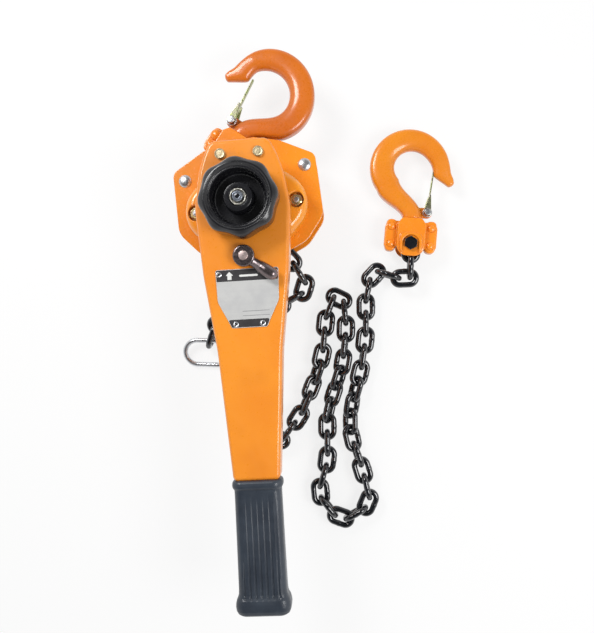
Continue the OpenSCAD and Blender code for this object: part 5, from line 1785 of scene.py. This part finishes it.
@dataclass
class Studio:
    """Floor, lamps, surroundings and camera."""

    focal: float = 692.0
    image: Spot = (594.0, 633.0)
    down: Spot = (345.0, 331.0)
    anchor: Spot = (246.5, 207.5)
    anchor_at: tuple[float, float, float] = (0.0, 0.0, 90.0)
    height: float = 781.0
    lean: float = -7.2
    floor_colour: Colour = (0.86, 0.86, 0.86)
    floor_half: float = 3000.0
    floor_z: float = -0.4
    floor_glow: float = 0.8
    room_light: float = 0.5
    wall_light: float = 0.85
    ceiling_light: float = 0.05
    ceiling_band: Spot = (0.25, 0.75)
    aim: tuple[float, float, float] = (40.0, -60.0, 40.0)
    lamps: tuple[tuple[str, tuple[float, float, float], float, float], ...] = (
        ("key_softbox", (-450.0, 550.0, 900.0), 0.4, 7.2),
        ("fill_softbox", (650.0, -350.0, 850.0), 0.45, 5.4))

    def ray(self, pixel: Spot) -> Vector:
        """Direction in the camera's own frame of an image point, counted from the top left."""
        x, y = pixel[0] - self.image[0] / 2, pixel[1] - self.image[1] / 2
        return Vector((x / self.focal, -y / self.focal, -1.0))

    def camera(self) -> None:
        """Looks down: one image point is straight below the camera, another one sees the anchor."""
        data = bpy.data.cameras.new("camera")
        data.sensor_fit = "VERTICAL"
        data.sensor_height = 36.0
        data.lens = 36.0 * self.focal / self.image[1]
        data.clip_start = 0.01
        down = self.ray(self.down).normalized()
        upright = down.rotation_difference(Vector((0, 0, -1))).to_matrix()
        turn = Matrix.Rotation(radians(self.lean), 3, "Z") @ upright
        sight = turn @ self.ray(self.anchor)
        at = Vector(self.anchor_at) - sight * ((self.anchor_at[2] - self.height) / sight.z)
        camera = bpy.data.objects.new("camera", data)
        camera.matrix_world = Matrix.Translation(at * MM) @ turn.to_4x4()
        bpy.context.scene.collection.objects.link(camera)
        bpy.context.scene.camera = camera

    def floor(self) -> None:
        """A wide pale floor that looks nearly white and keeps a soft shadow."""
        n = Nodes("Pale floor")
        n.put("Base Color", self.floor_colour)
        n.put("Roughness", 0.7)
        n.put("Specular IOR Level", 0.1)
        white = n.node("ShaderNodeEmission", {})
        seen = n.sum("MAXIMUM", n.node("ShaderNodeLightPath", {}, "Is Camera Ray"),
                     n.node("ShaderNodeLightPath", {}, "Is Glossy Ray"))
        glow = n.sum("MULTIPLY", seen, self.floor_glow)
        mix = n.node("ShaderNodeMixShader", {0: glow, 1: n.shader.outputs[0], 2: white})
        n.tree.links.new(mix, n.output.inputs[0])
        corners = self.floor_half * np.array([[-1, -1, 0], [1, -1, 0], [1, 1, 0], [-1, 1, 0]])
        shape = Shape().take(corners + (0, 0, self.floor_z), np.array([[0, 1, 2, 3]]))
        shape.object("studio_floor", n.material)

    def lamp(self, name: str, at: tuple[float, float, float], size: float, watts: float) -> None:
        """A square softbox, aimed at the middle of the part.

        Args:
            name: the lamp's name.
            at: its place in millimetres.
            size: its side in metres.
            watts: its power.
        """
        data = bpy.data.lights.new(name, "AREA")
        data.shape = "SQUARE"
        data.size = size
        data.energy = watts
        lamp = bpy.data.objects.new(name, data)
        lamp.location = Vector(at) * MM
        sight = Vector(self.aim) - Vector(at)
        lamp.rotation_euler = sight.to_track_quat("-Z", "Y").to_euler()
        bpy.context.scene.collection.objects.link(lamp)

    def world(self) -> None:
        """An even pale surrounding, which mirrors as bright walls under a dark ceiling."""
        world = bpy.data.worlds.new("Studio walls")
        world.use_nodes = True
        tree = world.node_tree
        back = tree.nodes["Background"]
        back.inputs[0].default_value = (1.0, 1.0, 1.0, 1.0)
        height = tree.nodes.new("ShaderNodeSeparateXYZ")
        tree.links.new(tree.nodes.new("ShaderNodeTexCoord").outputs["Generated"], height.inputs[0])
        walls = tree.nodes.new("ShaderNodeMapRange")
        levels = (*self.ceiling_band, self.wall_light, self.ceiling_light)
        for key, value in enumerate(levels, start=1):
            walls.inputs[key].default_value = value
        tree.links.new(height.outputs[2], walls.inputs[0])
        path = tree.nodes.new("ShaderNodeLightPath")
        mirrored_room = tree.nodes.new("ShaderNodeMix")
        mirrored_room.inputs[2].default_value = self.room_light
        tree.links.new(path.outputs["Is Glossy Ray"], mirrored_room.inputs[0])
        tree.links.new(walls.outputs[0], mirrored_room.inputs[3])
        seen = tree.nodes.new("ShaderNodeMix")
        seen.inputs[3].default_value = 1.0
        tree.links.new(path.outputs["Is Camera Ray"], seen.inputs[0])
        tree.links.new(mirrored_room.outputs[0], seen.inputs[2])
        tree.links.new(seen.outputs[0], back.inputs[1])
        bpy.context.scene.world = world

    def build(self) -> None:
        """Sets the whole stage."""
        bpy.context.scene.view_settings.view_transform = "Standard"
        self.camera()
        self.floor()
        self.world()
        for lamp in self.lamps:
            self.lamp(*lamp)


def hooks() -> tuple[Hook, Hook]:
    """The two hooks, each with the sizes of its own forging.

    Returns:
        The top hook and the bottom hook.
    """
    top = Hook(end=End.TOP, enamel=SHADED_TOP_HOOK_ENAMEL, bowl_at=(0.0, 82.0),
               inside=(24.4, 23.8, 23.6, 23.6, 24.6, 27.2, 28.7),
               outside=(50.3, 51.2, 50.0, 49.5, 49.9, 49.0, 48.2),
               nose=(0.0, 82.0), latch_tip=(-23.0, 88.0))
    bottom = Hook(end=End.BOTTOM, enamel=PALE_HOOK_ENAMEL, bowl_at=(2.5, 84.5),
                  inside=(18.9, 21.4, 25.2, 25.2, 23.8, 23.1, 22.0),
                  outside=(47.2, 50.4, 52.9, 51.5, 48.4, 46.0, 43.2),
                  nose=(6.0, 80.7), latch_tip=(-20.6, 87.0))
    return top, bottom


def main() -> None:
    """Builds the stage and every sub-assembly in order."""
    logging.basicConfig(level=logging.INFO, format="%(name)s: %(message)s")
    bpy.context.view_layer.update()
    SHOP.dress_frame()
    Studio().build()
    for part in (Housing(), Chain(), Lever(), HandWheel(), Selector(), *hooks()):
        log.info("building %s", type(part).__name__)
        part.build()


if __name__ == "__main__":
    main()
